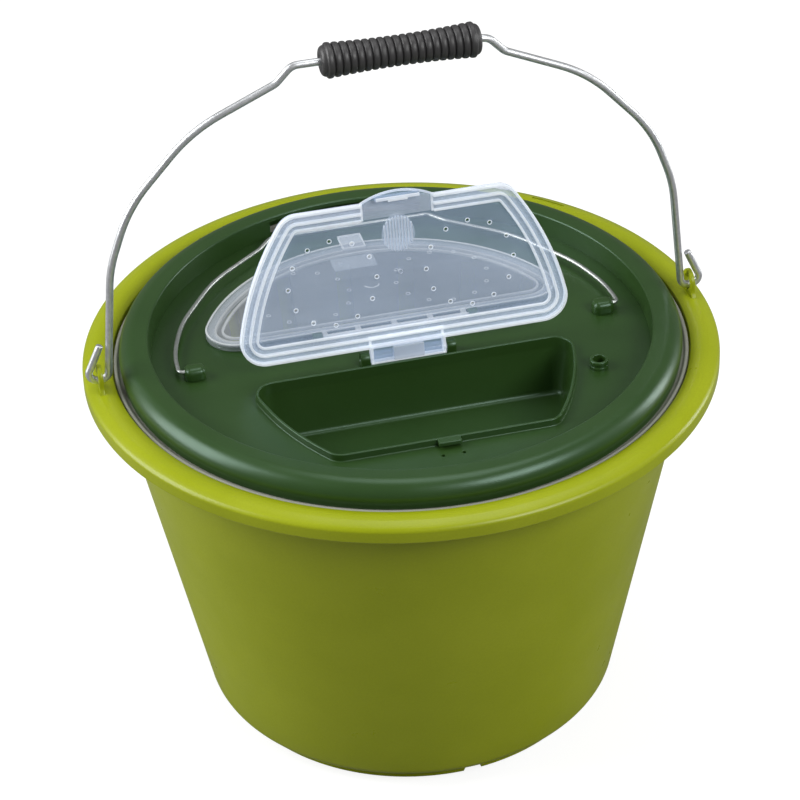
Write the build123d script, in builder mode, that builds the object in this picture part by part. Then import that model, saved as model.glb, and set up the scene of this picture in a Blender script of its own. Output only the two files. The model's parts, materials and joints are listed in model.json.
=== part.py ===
from build123d import *
import os
from math import cos, radians, sin

# Aerated bait bucket: a tapered bucket with a wire bail, a perforated basket that hangs in its mouth,
# and a lid with an aerator well under a clear flap and a bait hatch under a clear cover.
# Millimetres, +Z up, origin at the middle of the foot ring on the ground.
# +X runs along the bail's pivot line, and the aerator well is towards -Y.

os.makedirs("parts", exist_ok=True)

# ---------------------------------------------------------------- driving dimensions

# outer bucket
mouth_radius = 154.6        # inside of the rim, round the basket's flange
rim_width = 15.4            # from the mouth to the outer edge of the rim
rim_top = 216.0             # height of the rim over the ground
rim_plate = 2.8
rim_skirt_drop = 8.5
rim_skirt_wall = 2.6
rim_edge_round = 4.0
seat_depth = 5.0            # from the rim's top down to the basket's seat
seat_width = 4.6
seat_land = 11.0            # height of the straight land under the seat
wall_foot_inset = 41.7      # from the mouth in to the outer wall line at the ground
wall_shoulder = 1.1         # outer wall line beyond the mouth at the rim's top
bucket_wall = 2.5
bucket_floor = 3.0
heel_round = 8.0
floor_round = 3.0
foot_inset = 6.6            # from the wall line at the ground in to the foot ring
foot_height = 6.5
foot_wall = 3.0
notch_count = 4
notch_width = 10.0
notch_height = 4.6
notch_start = -86.0         # direction of the first drain notch, degrees
slot_direction = 44.5       # direction of the thin slot in the rim, degrees
slot_length = 21.0
slot_width = 1.4
slot_inset = 3.0            # from the rim's outer edge to the slot's middle
slot_depth = 1.6

# bail ears
ear_inset = 7.5             # from the rim's outer edge to the ear's middle plane
ear_thickness = 2.6
ear_radius = 7.0
ear_hole_radius = 4.0
ear_rise = 8.0              # from the rim's top to the middle of the ear's hole
ear_flare = 2.0
ear_flare_height = 3.2
ear_play = 0.1              # under the wire where it lies in the ear's hole

# bail and grip
bail_wire_radius = 2.0
bail_height = 167.1         # from the pivot line to the middle of the grip
bail_leg_setback = 4.7      # from the ear's middle plane to the leg
bail_hook_reach = 7.8       # from the ear's middle plane to the hook's outer leg
hook_tail_rise = 21.0
hook_tail_lean = 9.6
hook_inner_bend = 4.5
hook_outer_bend = 4.5
knee_setback = 6.3
knee_share = 0.394          # heights along the leg, as shares of the bail's height
hip_setback = 18.8
hip_share = 0.598
shoulder_setback = 53.8
shoulder_share = 0.828
leg_bend_share = 0.48
offset_reach = 59.5         # half width of the bail at the foot of its raised middle
offset_drop = 8.9
offset_bend = 10.0
straight_reach = 51.0       # half width of the raised straight middle
straight_bend = 8.0
grip_length = 83.0
grip_shift = 5.0            # the grip lies a little along the wire
grip_end_radius = 8.6
grip_waist_radius = 7.0
grip_bore_clearance = 0.3
grip_cap = 2.4
rib_count = 20
rib_rise = 0.9

# inner basket
basket_rim_clearance = 0.8  # round the flange, in the mouth
basket_flange = 2.4
basket_bead_width = 2.4
basket_bead_rise = 1.6
basket_clearance = 1.2      # round the basket's wall, in the seat
basket_draft = 11.2
basket_wall = 2.0
basket_floor = 2.2
basket_depth = 171.0        # from the seat down to the basket's floor
basket_slot_rows = 3
basket_slot_count = 24
basket_slot_width = 9.0
basket_slot_height = 38.0
basket_slot_pitch = 50.0
basket_slot_top = 30.0      # from the seat down to the first row of slots
floor_hole = 11.0
floor_hole_pitch = 20.0
floor_hole_margin = 12.0

# lid
lid_clearance = 1.6         # round the lid, inside the flange's bead
crown_overhang = 0.7
crown_width = 16.0
crown_round = 9.0
crown_height = 12.0         # of the bulged edge over the deck
crown_edge_round = 1.0
lid_wall = 2.2
deck_rise = 2.1             # of the deck over the lid's seat
deck_thickness = 2.5
lid_skirt = 12.5
scoop_width = 88.0          # finger opening in the rear inner wall of the bulged edge
scoop_height = 8.5
scoop_sill = 1.4
plan_radius = 133.5         # radius of the deck that the plan sizes of the lid below are given for

# aerator well
well_back = -24.0
well_front = -100.0
well_back_half = 88.0
well_mid_half = 77.0
well_mid = -67.0
well_front_half = 58.5
well_back_round = 11.0
well_front_round = 9.0
lip_wall = 1.5
lip_height = 4.0
well_depth = 29.0
well_floor = 2.5
well_taper = 4.4            # that the well narrows by on each side
catch_width = 12.0
catch_reach = 4.0
catch_thickness = 2.6
drain_radius = 1.0
drain_spacing = 11.0
drain_offset = 9.3

# hatch
cover_handle_gap = 17.8     # from the lid handle's back in to the cover's back edge
cover_centre_x = -2.6
cover_centre_y = -5.0
cover_chord = 14.4
cover_corner = 17.0
hatch_lip_height = 2.6

# clear covers
cover_overlap = 2.8         # of a cover beyond the lip that it closes on
cover_gap = 0.3             # over the lip
cover_plate = 1.5
cover_skirt_wall = 1.5
cover_skirt = 2.6
ridge_wall = 1.3
seal_ridge_clearance = 0.4  # inside the lip
seal_ridge = 2.4
field_ridge_inset = 8.7
field_ridge = 1.2
vent_radius = 0.9
vent_count = 12
flap_vent_offset = 37.2
flap_vent_reach = 45.0
flap_vent_circle = 23.8
cover_vent_offset = 39.0
cover_vent_reach = 51.2
cover_vent_circle = 25.7

# hinges of the covers
flap_axis_setback = 8.0     # from the well's lip back to the flap's pivot line
flap_open = 99.0            # the flap stands open at this angle from closed
cover_axis_setback = 4.6    # from the cover's straight edge to its pivot line
hinge_rise = 3.4            # of both pivot lines over the deck
barrel_radius = 3.2         # of the flap's hinge barrel, just clear of the deck
rod_radius = 1.7            # of the rear cover's hinge rod
pin_radius = 1.4
pin_clearance = 0.1
pin_engagement = 3.6
post_radius = 3.4
post_width = 5.0
post_gap = 0.5
arm_width = 3.0
arm_length = 9.0
flap_hinge_half = 20.5
flap_arm_places = (0.0, 19.0)
flap_middle_arm = 13.0
rear_hinge_half = 40.0
rear_arm_places = (0.0, 20.0, 38.5)

# flap tab, latch and pad
tab_half = 19.5
tab_reach = 5.0
latch_width = 24.0
latch_wall = 1.5
latch_drop = 4.0
latch_clearance = 0.5
pad_width = 17.5
pad_length = 21.0
pad_reach = 68.0
pad_rise = 0.6
tongue_width = 13.5
tongue_reach = 8.2

# lid handle
handle_wire_radius = 1.2
handle_margin = 12.7        # from the deck's edge to the wire at the pivots
handle_axis_y = -2.5
handle_rise = 4.2           # of the wire's middle over the deck
handle_back = 118.0
handle_straight = 46.0
handle_offset = (54.0, 108.0)
handle_shoulder = (86.0, 82.0)
handle_hip = (111.0, 44.0)
handle_knee_y = 14.0
handle_end_bend = 2.4
handle_small_bend = 6.0
handle_large_bend = 85.0
lug_length = 11.5
lug_width = 9.5
lug_top_round = 3.0
lug_cover = 1.6             # of the lug over its bore
lug_gap = 0.2               # from the end of the wire's bend to the lug
handle_grip_in_lug = 8.0

# air-hose port
port_x = 94.2
port_y = -54.0
port_bore_radius = 3.35
port_collar_radius = 5.0
port_neck_radius = 4.3
port_height = 5.0
port_groove = 1.2
port_groove_rise = 1.6

# ---------------------------------------------------------------- derived places

rim_radius = mouth_radius + rim_width
wall_top_radius = mouth_radius + wall_shoulder
wall_foot_radius = mouth_radius - wall_foot_inset
foot_radius = wall_foot_radius - foot_inset
seat_z = rim_top - seat_depth
seat_radius = mouth_radius - seat_width
floor_z = foot_height + bucket_floor


def wall_radius(z):
    """Outer radius of the bucket's tapered wall at height z."""
    return wall_foot_radius + (wall_top_radius - wall_foot_radius) * z / rim_top


ear_plane = rim_radius - ear_inset
ear_z = rim_top + ear_rise
pivot_z = ear_z - ear_hole_radius + bail_wire_radius + ear_play
bail_leg = ear_plane - bail_leg_setback
grip_z = pivot_z + bail_height

flange_radius = mouth_radius - basket_rim_clearance
bead_inner = flange_radius - basket_bead_width
flange_top = seat_z + basket_flange
basket_top_radius = seat_radius - basket_clearance
basket_floor_z = seat_z - basket_depth
basket_taper = sin(radians(basket_draft)) / cos(radians(basket_draft))


def basket_radius(z):
    """Outer radius of the basket's tapered wall at height z."""
    return basket_top_radius - (seat_z - z) * basket_taper


lid_foot_radius = bead_inner - lid_clearance
crown_radius = lid_foot_radius + crown_overhang
deck_radius = crown_radius - crown_width - crown_edge_round
plan = deck_radius / plan_radius
cover_radius = handle_back - cover_handle_gap - cover_centre_y
deck_top = flange_top + deck_rise
deck_under = deck_top - deck_thickness
crown_top = deck_top + crown_height
crown_centre = crown_radius - crown_round
crown_equator = crown_top - crown_round
lip_top = deck_top + lip_height
hinge_z = deck_top + hinge_rise
handle_z = deck_top + handle_rise
flap_axis_y = plan * well_back + flap_axis_setback
cover_axis_y = plan * cover_chord - cover_axis_setback
handle_reach = deck_radius - handle_margin
rear_half = plan * rear_hinge_half

# a point of the open flap is (across, along the flap from its pivot line, out of its upper face)
flap_plane = Plane(
    origin=(0, flap_axis_y, hinge_z),
    x_dir=(-1, 0, 0),
    z_dir=(0, sin(radians(flap_open)), cos(radians(flap_open))),
)
flap_under = lip_top + cover_gap - hinge_z
cover_plane = Plane(origin=(0, cover_axis_y, hinge_z))
flap_across = Plane(origin=flap_plane.origin, x_dir=flap_plane.y_dir, z_dir=flap_plane.x_dir)
stop_play = 0.05
flap_stop = (hinge_rise - stop_play + rod_radius * cos(radians(flap_open))) / sin(radians(flap_open))
cover_under = hatch_lip_height + cover_gap - hinge_rise


# ---------------------------------------------------------------- outlines


def well_outline(grow, along_flap=False):
    """Outline of the aerator well's lip, grown by an amount.

    Seen from above, or, along_flap, in the flap's own directions across and away from its pivot line.
    """
    origin_y, sense = (flap_axis_y, -1) if along_flap else (0.0, 1)
    back, middle, front = [sense * (plan * y - origin_y) for y in (well_back, well_mid, well_front)]
    back_half, mid_half, front_half = [plan * x for x in (well_back_half, well_mid_half, well_front_half)]
    with BuildSketch() as outline:
        with BuildLine():
            Line((-back_half, back), (back_half, back))
            ThreePointArc((back_half, back), (mid_half, middle), (front_half, front))
            Line((front_half, front), (-front_half, front))
            ThreePointArc((-front_half, front), (-mid_half, middle), (-back_half, back))
        make_face()
        corners = outline.vertices().sort_by(Axis.X)
        fillet([corners[0], corners[-1]], plan * well_back_round)
        front_corners = outline.vertices().sort_by(lambda v: abs(v.Y - front))[:2]
        fillet(front_corners, plan * well_front_round)
        if grow:
            offset(amount=grow)
    return outline.sketch


def hatch_outline(shrink, from_pivot=False):
    """D-shaped outline of the rear cover, shrunk by an amount, from the lid's centre or the pivot line."""
    with BuildSketch() as outline:
        with Locations((0, -cover_axis_y if from_pivot else 0.0)):
            with Locations((plan * cover_centre_x, plan * cover_centre_y)):
                Circle(plan * cover_radius)
            with Locations((0, plan * cover_chord)):
                below = (Align.CENTER, Align.MAX)
                Rectangle(3 * cover_radius, 2 * cover_radius, align=below, mode=Mode.SUBTRACT)
        fillet(outline.vertices(), plan * cover_corner)
        if shrink:
            offset(amount=-shrink)
    return outline.sketch


lip_inset = cover_overlap + lip_wall
seal_inset = lip_inset + seal_ridge_clearance
ridge_steps = (
    (0.0, cover_skirt_wall, cover_skirt),
    (seal_inset, ridge_wall, seal_ridge),
    (field_ridge_inset, ridge_wall, field_ridge),
)
flap_edges = [
    (well_outline(cover_overlap - inset, True), well_outline(cover_overlap - inset - wall, True), depth)
    for inset, wall, depth in ridge_steps
]
cover_edges = [
    (hatch_outline(inset, True), hatch_outline(inset + wall, True), depth)
    for inset, wall, depth in ridge_steps
]
lip_outer = well_outline(0)
lip_inner = well_outline(-lip_wall)
hatch_lip_outer = hatch_outline(cover_overlap)
hatch_opening = hatch_outline(lip_inset)


# ---------------------------------------------------------------- outer bucket

skirt_bottom = rim_top - rim_skirt_drop
rim_under = rim_top - rim_plate
land_z = seat_z - seat_land
inner_foot = wall_radius(floor_z) - bucket_wall

def bucket_body():
    """Bucket with its rim, floor and notched foot ring, before the ears."""
    with BuildPart() as body:
        with BuildSketch(Plane.XZ) as bucket_profile:
            with BuildLine():
                Polyline(
                    (0, foot_height),
                    (foot_radius - foot_wall, foot_height),
                    (foot_radius - foot_wall, 0),
                    (foot_radius, 0),
                    (foot_radius, foot_height),
                    (wall_radius(foot_height), foot_height),
                    (wall_radius(rim_under), rim_under),
                    (rim_radius - rim_skirt_wall, rim_under),
                    (rim_radius - rim_skirt_wall, skirt_bottom),
                    (rim_radius, skirt_bottom),
                    (rim_radius, rim_top),
                    (mouth_radius, rim_top),
                    (mouth_radius, seat_z),
                    (seat_radius, seat_z),
                    (seat_radius, land_z),
                    (inner_foot, floor_z),
                    (0, floor_z),
                    close=True,
                )
            make_face()
            heel = bucket_profile.vertices().sort_by_distance((wall_radius(foot_height), foot_height))[0]
            fillet(heel, heel_round)
            fillet(bucket_profile.vertices().sort_by_distance((inner_foot, floor_z))[0], floor_round)
            fillet(bucket_profile.vertices().sort_by_distance((rim_radius, rim_top))[0], rim_edge_round)
        revolve(axis=Axis.Z)

        # arched drain notches through the foot ring
        for index in range(notch_count):
            direction = radians(notch_start + 360 / notch_count * index)
            outward = (cos(direction), sin(direction), 0)
            with BuildSketch(Plane(origin=(0, 0, 0), x_dir=(-outward[1], outward[0], 0), z_dir=outward)):
                with BuildLine():
                    ThreePointArc((-notch_width / 2, 0), (0, notch_height), (notch_width / 2, 0))
                    Line((notch_width / 2, 0), (-notch_width / 2, 0))
                make_face()
            extrude(amount=rim_radius, mode=Mode.SUBTRACT)

        # thin slot in the top of the rim
        with BuildSketch(Plane.XY.offset(rim_top)):
            slot_arc = slot_length / (rim_radius - slot_inset)
            SlotArc(
                CenterArc(
                    (0, 0),
                    rim_radius - slot_inset,
                    slot_direction - slot_arc * 90 / 3.14159,
                    slot_arc * 180 / 3.14159,
                    mode=Mode.PRIVATE,
                ),
                slot_width,
            )
        extrude(amount=-slot_depth, mode=Mode.SUBTRACT)
    return body.part


floor_edge = inner_foot - floor_round

with BuildPart() as outer_bucket:
    add(bucket_body())
    with BuildSketch(Plane.XY):
        Circle(floor_edge)
    extrude(amount=floor_z, mode=Mode.SUBTRACT)
    with BuildSketch(Plane.XY):
        Circle(2 * rim_radius)
    extrude(amount=land_z, mode=Mode.INTERSECT)

outer_bucket.part.label = "outer_bucket"
export_step(outer_bucket.part, "parts/outer_bucket.step")

with BuildPart() as bucket_rim:
    add(bucket_body())
    with BuildSketch(Plane.XY):
        Circle(2 * rim_radius)
    extrude(amount=land_z, mode=Mode.SUBTRACT)

bucket_rim.part.label = "bucket_rim"
export_step(bucket_rim.part, "parts/bucket_rim.step")

with BuildPart() as bucket_floor:
    add(bucket_body())
    with BuildSketch(Plane.XY):
        Circle(floor_edge)
    extrude(amount=floor_z, mode=Mode.INTERSECT)

bucket_floor.part.label = "bucket_floor"
export_step(bucket_floor.part, "parts/bucket_floor.step")


def bail_ear(side):
    """Ear with the bail's hole, standing on the rim at one end of the bail's pivot line."""
    with BuildPart() as ear:
        with BuildSketch(Plane.YZ.offset(side * (ear_plane - ear_thickness / 2))):
            with Locations((0, ear_z)):
                Circle(ear_radius)
                Rectangle(2 * ear_radius, ear_rise, align=(Align.CENTER, Align.MAX))
            with BuildLine():
                Polyline(
                    (-ear_radius, rim_top + ear_flare_height),
                    (-ear_radius - ear_flare, rim_top),
                    (ear_radius + ear_flare, rim_top),
                    (ear_radius, rim_top + ear_flare_height),
                    close=True,
                )
            make_face()
            with Locations((0, ear_z)):
                Circle(ear_hole_radius, mode=Mode.SUBTRACT)
        extrude(amount=side * ear_thickness)
    return ear.part


with BuildPart() as bail_ear_left:
    add(bail_ear(-1))

bail_ear_left.part.label = "bail_ear_left"
export_step(bail_ear_left.part, "parts/bail_ear_left.step")

with BuildPart() as bail_ear_right:
    add(bail_ear(1))

bail_ear_right.part.label = "bail_ear_right"
export_step(bail_ear_right.part, "parts/bail_ear_right.step")

# ---------------------------------------------------------------- bail

hook_x = ear_plane + bail_hook_reach
leg_bend = leg_bend_share * bail_height
right_half = [
    (straight_reach, grip_z, straight_bend),
    (offset_reach, grip_z - offset_drop, offset_bend),
    (bail_leg - shoulder_setback, pivot_z + shoulder_share * bail_height, leg_bend),
    (bail_leg - hip_setback, pivot_z + hip_share * bail_height, leg_bend),
    (bail_leg - knee_setback, pivot_z + knee_share * bail_height, leg_bend),
    (bail_leg, pivot_z, hook_inner_bend),
    (hook_x, pivot_z, hook_outer_bend),
    (hook_x - hook_tail_lean, pivot_z + hook_tail_rise, 0),
]
left_half = [(-x, z, bend) for x, z, bend in reversed(right_half)]
bail_points = left_half + right_half

with BuildPart() as bail_wire:
    with BuildLine(Plane.XZ) as bail_path:
        bail_bends = [bend for x, z, bend in bail_points[1:-1]]
        FilletPolyline(*[(x, z) for x, z, bend in bail_points], radius=bail_bends)
    with BuildSketch(Plane(origin=bail_path.line @ 0, z_dir=bail_path.line % 0)):
        Circle(bail_wire_radius)
    sweep()

bail_wire.part.label = "bail_wire"
export_step(bail_wire.part, "parts/bail_wire.step")


def grip_radius(x):
    """Radius of the waisted grip's body at a distance x from its middle."""
    return grip_waist_radius + (grip_end_radius - grip_waist_radius) * (2 * x / grip_length) ** 2


grip_half = grip_length / 2
ribbed_half = grip_half - grip_cap
rib_pitch = 2 * ribbed_half / rib_count
grip_bore = bail_wire_radius + grip_bore_clearance
cap_radius = grip_radius(grip_half) - grip_cap / 2

with BuildPart() as bail_grip:
    with BuildSketch(Plane(origin=(grip_shift, 0, grip_z), x_dir=(1, 0, 0), z_dir=(0, -1, 0))):
        with BuildLine():
            Line((-grip_half, grip_bore), (-grip_half, cap_radius))
            Line((-grip_half, cap_radius), (-ribbed_half, grip_radius(ribbed_half)))
            for rib in range(rib_count):
                start = -ribbed_half + rib * rib_pitch
                end = start + rib_pitch
                crest = (start + end) / 2
                ThreePointArc(
                    (start, grip_radius(start)),
                    (crest, grip_radius(crest) + rib_rise),
                    (end, grip_radius(end)),
                )
            Line((ribbed_half, grip_radius(ribbed_half)), (grip_half, cap_radius))
            Line((grip_half, cap_radius), (grip_half, grip_bore))
            Line((grip_half, grip_bore), (-grip_half, grip_bore))
        make_face()
    revolve(axis=Axis((0, 0, grip_z), (1, 0, 0)))

bail_grip.part.label = "bail_grip"
export_step(bail_grip.part, "parts/bail_grip.step")

# ---------------------------------------------------------------- inner basket

basket_floor_top = basket_floor_z + basket_floor

with BuildPart() as basket_rim:
    with BuildSketch(Plane.XZ) as rim_profile:
        with BuildLine():
            Polyline(
                (basket_top_radius - basket_wall, seat_z),
                (flange_radius, seat_z),
                (flange_radius, flange_top + basket_bead_rise),
                (bead_inner, flange_top + basket_bead_rise),
                (bead_inner, flange_top),
                (basket_top_radius - basket_wall, flange_top),
                close=True,
            )
        make_face()
        fillet(rim_profile.vertices().group_by(Axis.Y)[-1], basket_bead_width / 3)
    revolve(axis=Axis.Z)

basket_rim.part.label = "basket_rim"
export_step(basket_rim.part, "parts/basket_rim.step")

with BuildPart() as basket_side:
    with BuildSketch(Plane.XZ):
        with BuildLine():
            Polyline(
                (basket_radius(basket_floor_top), basket_floor_top),
                (basket_top_radius, seat_z),
                (basket_top_radius - basket_wall, seat_z),
                (basket_radius(basket_floor_top) - basket_wall, basket_floor_top),
                close=True,
            )
        make_face()
    revolve(axis=Axis.Z)

    # rows of upright slots round the wall
    for row in range(basket_slot_rows):
        slot_z = seat_z - basket_slot_top - row * basket_slot_pitch - basket_slot_height / 2
        with Locations((0, 0, slot_z)):
            with PolarLocations(basket_radius(slot_z), basket_slot_count):
                Box(4 * seat_width, basket_slot_width, basket_slot_height, mode=Mode.SUBTRACT)

basket_side.part.label = "basket_side"
export_step(basket_side.part, "parts/basket_side.step")

with BuildPart() as basket_bottom:
    with BuildSketch(Plane.XZ):
        with BuildLine():
            Polyline(
                (0, basket_floor_z),
                (basket_radius(basket_floor_z), basket_floor_z),
                (basket_radius(basket_floor_top), basket_floor_top),
                (0, basket_floor_top),
                close=True,
            )
        make_face()
    revolve(axis=Axis.Z)

    # square mesh
    mesh_reach = basket_radius(basket_floor_z) - floor_hole_margin - floor_hole / 2
    steps = range(-int(mesh_reach / floor_hole_pitch), int(mesh_reach / floor_hole_pitch) + 1)
    mesh_places = [
        (column * floor_hole_pitch, row * floor_hole_pitch)
        for column in steps
        for row in steps
        if (column**2 + row**2) ** 0.5 * floor_hole_pitch < mesh_reach
    ]
    with BuildSketch(Plane.XY.offset(basket_floor_z)):
        with Locations(*mesh_places):
            Rectangle(floor_hole, floor_hole)
    extrude(amount=basket_floor, mode=Mode.SUBTRACT)

basket_bottom.part.label = "basket_bottom"
export_step(basket_bottom.part, "parts/basket_bottom.step")

# ---------------------------------------------------------------- lid

lug_outer = handle_reach - handle_end_bend - lug_gap
lug_top = handle_z + handle_wire_radius + lug_cover
shell_edge = deck_radius + lid_wall
skirt_foot = deck_top - lid_skirt

with BuildPart() as lid_rim:
    with BuildSketch(Plane.XZ) as lid_profile:
        with BuildLine():
            Polyline(
                (crown_radius, crown_equator),
                (lid_foot_radius, flange_top),
                (lid_foot_radius - lid_wall, flange_top),
                (crown_radius - lid_wall, crown_equator),
            )
            CenterArc((crown_centre, crown_equator), crown_round - lid_wall, 0, 90)
            Polyline(
                (crown_centre, crown_top - lid_wall),
                (shell_edge + crown_edge_round, crown_top - lid_wall),
                (shell_edge, deck_under),
                (shell_edge, skirt_foot),
                (deck_radius, skirt_foot),
                (deck_radius, deck_top),
                (deck_radius + crown_edge_round, crown_top),
                (crown_centre, crown_top),
            )
            CenterArc((crown_centre, crown_equator), crown_round, 0, 90)
        make_face()
        crown_edge = (deck_radius + crown_edge_round, crown_top)
        fillet(lid_profile.vertices().sort_by_distance(crown_edge)[0], crown_edge_round)
    revolve(axis=Axis.Z)

    # finger opening through the rear of the inner wall
    with BuildSketch(Plane.XZ.offset(-deck_radius * cos(radians(45)))):
        with Locations((0, deck_top + scoop_sill)):
            Rectangle(scoop_width, scoop_height, align=(Align.CENTER, Align.MIN))
    extrude(amount=deck_radius * cos(radians(45)) - crown_centre, mode=Mode.SUBTRACT)

lid_rim.part.label = "lid_rim"
export_step(lid_rim.part, "parts/lid_rim.step")

with BuildPart() as lid_deck:
    with BuildSketch(Plane.XY.offset(deck_under)):
        Circle(deck_radius)
        add(lip_outer, mode=Mode.SUBTRACT)
        add(hatch_lip_outer, mode=Mode.SUBTRACT)
        with Locations((plan * port_x, plan * port_y)):
            Circle(port_collar_radius, mode=Mode.SUBTRACT)
        with Locations((0, plan * well_front - drain_offset)):
            with GridLocations(drain_spacing, 1, 2, 1):
                Circle(drain_radius, mode=Mode.SUBTRACT)
    extrude(amount=deck_thickness)

lid_deck.part.label = "lid_deck"
export_step(lid_deck.part, "parts/lid_deck.step")

# lip of the bait hatch
with BuildPart() as hatch_lip:
    with BuildSketch(Plane.XY.offset(deck_under)):
        add(hatch_lip_outer)
        add(hatch_opening, mode=Mode.SUBTRACT)
    extrude(amount=deck_thickness + hatch_lip_height)

hatch_lip.part.label = "hatch_lip"
export_step(hatch_lip.part, "parts/hatch_lip.step")

# aerator well: a lip through the deck, and a box with sloping walls under it
well_drop = well_depth - deck_thickness
with BuildPart() as lid_well:
    with BuildSketch(Plane.XY.offset(deck_under)):
        add(lip_outer)
    with BuildSketch(Plane.XY.offset(deck_under - well_drop - well_floor)):
        add(well_outline(-well_taper))
    loft(ruled=True)
    with BuildSketch(Plane.XY.offset(deck_under)):
        add(lip_inner)
    with BuildSketch(Plane.XY.offset(deck_under - well_drop)):
        add(well_outline(-lip_wall - well_taper))
    loft(ruled=True, mode=Mode.SUBTRACT)
    with BuildSketch(Plane.XY.offset(deck_under)):
        add(lip_outer)
        add(lip_inner, mode=Mode.SUBTRACT)
    extrude(amount=deck_thickness + lip_height)

lid_well.part.label = "lid_well"
export_step(lid_well.part, "parts/lid_well.step")


def post_pair(half, axis_y):
    """Pair of posts with pin holes at the ends of a cover's pivot line."""
    with BuildPart() as posts:
        for side in (-1, 1):
            inner = half + post_gap
            with BuildSketch(Plane.YZ.offset(side * inner)):
                with Locations((axis_y, hinge_z)):
                    Circle(post_radius)
                    Rectangle(2 * post_radius, hinge_rise, align=(Align.CENTER, Align.MAX))
                    Circle(pin_radius + pin_clearance, mode=Mode.SUBTRACT)
            extrude(amount=side * post_width)
    return posts.part


with BuildPart() as flap_posts:
    add(post_pair(flap_hinge_half, flap_axis_y))

flap_posts.part.label = "flap_posts"
export_step(flap_posts.part, "parts/flap_posts.step")

with BuildPart() as cover_posts:
    add(post_pair(rear_half, cover_axis_y))

cover_posts.part.label = "cover_posts"
export_step(cover_posts.part, "parts/cover_posts.step")

# lugs of the lid's handle, bored along the pivot line
with BuildPart() as handle_lugs:
    for side in (-1, 1):
        with BuildSketch(Plane.YZ.offset(side * lug_outer)) as lug_face:
            with Locations((handle_axis_y, deck_top)):
                Rectangle(lug_width, lug_top - deck_top, align=(Align.CENTER, Align.MIN))
            fillet(lug_face.vertices().group_by(Axis.Y)[-1], lug_top_round)
            with Locations((handle_axis_y, handle_z)):
                Circle(handle_wire_radius + pin_clearance, mode=Mode.SUBTRACT)
        extrude(amount=-side * lug_length)

handle_lugs.part.label = "handle_lugs"
export_step(handle_lugs.part, "parts/handle_lugs.step")

# ledge on the front of the lip that the flap's latch closes over
with BuildPart() as latch_ledge:
    with BuildSketch(Plane.XY.offset(lip_top - catch_thickness)):
        with Locations((0, plan * well_front)):
            Rectangle(catch_width, catch_reach, align=(Align.CENTER, Align.MAX))
    extrude(amount=catch_thickness)

latch_ledge.part.label = "latch_ledge"
export_step(latch_ledge.part, "parts/latch_ledge.step")

# air-hose port: a grooved collar set in the deck
with BuildPart() as hose_port:
    with BuildSketch(Plane.XZ):
        with BuildLine():
            Polyline(
                (port_bore_radius, deck_under),
                (port_collar_radius, deck_under),
                (port_collar_radius, deck_top + port_groove_rise),
                (port_neck_radius, deck_top + port_groove_rise),
                (port_neck_radius, deck_top + port_groove_rise + port_groove),
                (port_collar_radius, deck_top + port_groove_rise + port_groove),
                (port_collar_radius, deck_top + port_height),
                (port_bore_radius, deck_top + port_height),
                close=True,
            )
        make_face()
    revolve(axis=Axis.Z)

hose_port.part.label = "hose_port"
hose_port.part.position = (plan * port_x, plan * port_y, 0)
export_step(hose_port.part, "parts/hose_port.step")

# ---------------------------------------------------------------- clear covers


def hinge_arms(half, places, middle_width):
    """Centres and widths of the arms that join a cover to its hinge rod."""
    arms = []
    for place in places:
        width = middle_width if place == 0 else arm_width
        for side in (-1, 1) if place else (1,):
            arms.append((side * min(place, half - arm_width / 2), width))
    return arms


def ribbed_cover(plane, under, edges, half, arms, rod):
    """Plate with a skirt, two ridges, arms, a hinge rod and its pins, in the plane of the pivot line."""
    outline = edges[0][0]
    with BuildPart() as cover:
        with BuildSketch(plane.offset(under)):
            add(outline)
            for place, width in arms:
                with Locations((place, 0)):
                    Rectangle(width, arm_length, align=(Align.CENTER, Align.MIN))
        extrude(amount=cover_plate)
        for outer, inner, depth in edges:
            with BuildSketch(plane.offset(under)):
                add(outer)
                add(inner, mode=Mode.SUBTRACT)
            extrude(amount=-depth)
        across = Plane(origin=plane.origin, x_dir=plane.y_dir, z_dir=plane.x_dir)
        with BuildSketch(across.offset(-half)):
            Circle(rod)
        extrude(amount=2 * half)
        with BuildSketch(across.offset(-half - pin_engagement)):
            Circle(pin_radius)
        extrude(amount=2 * (half + pin_engagement))
    return cover.part


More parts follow.
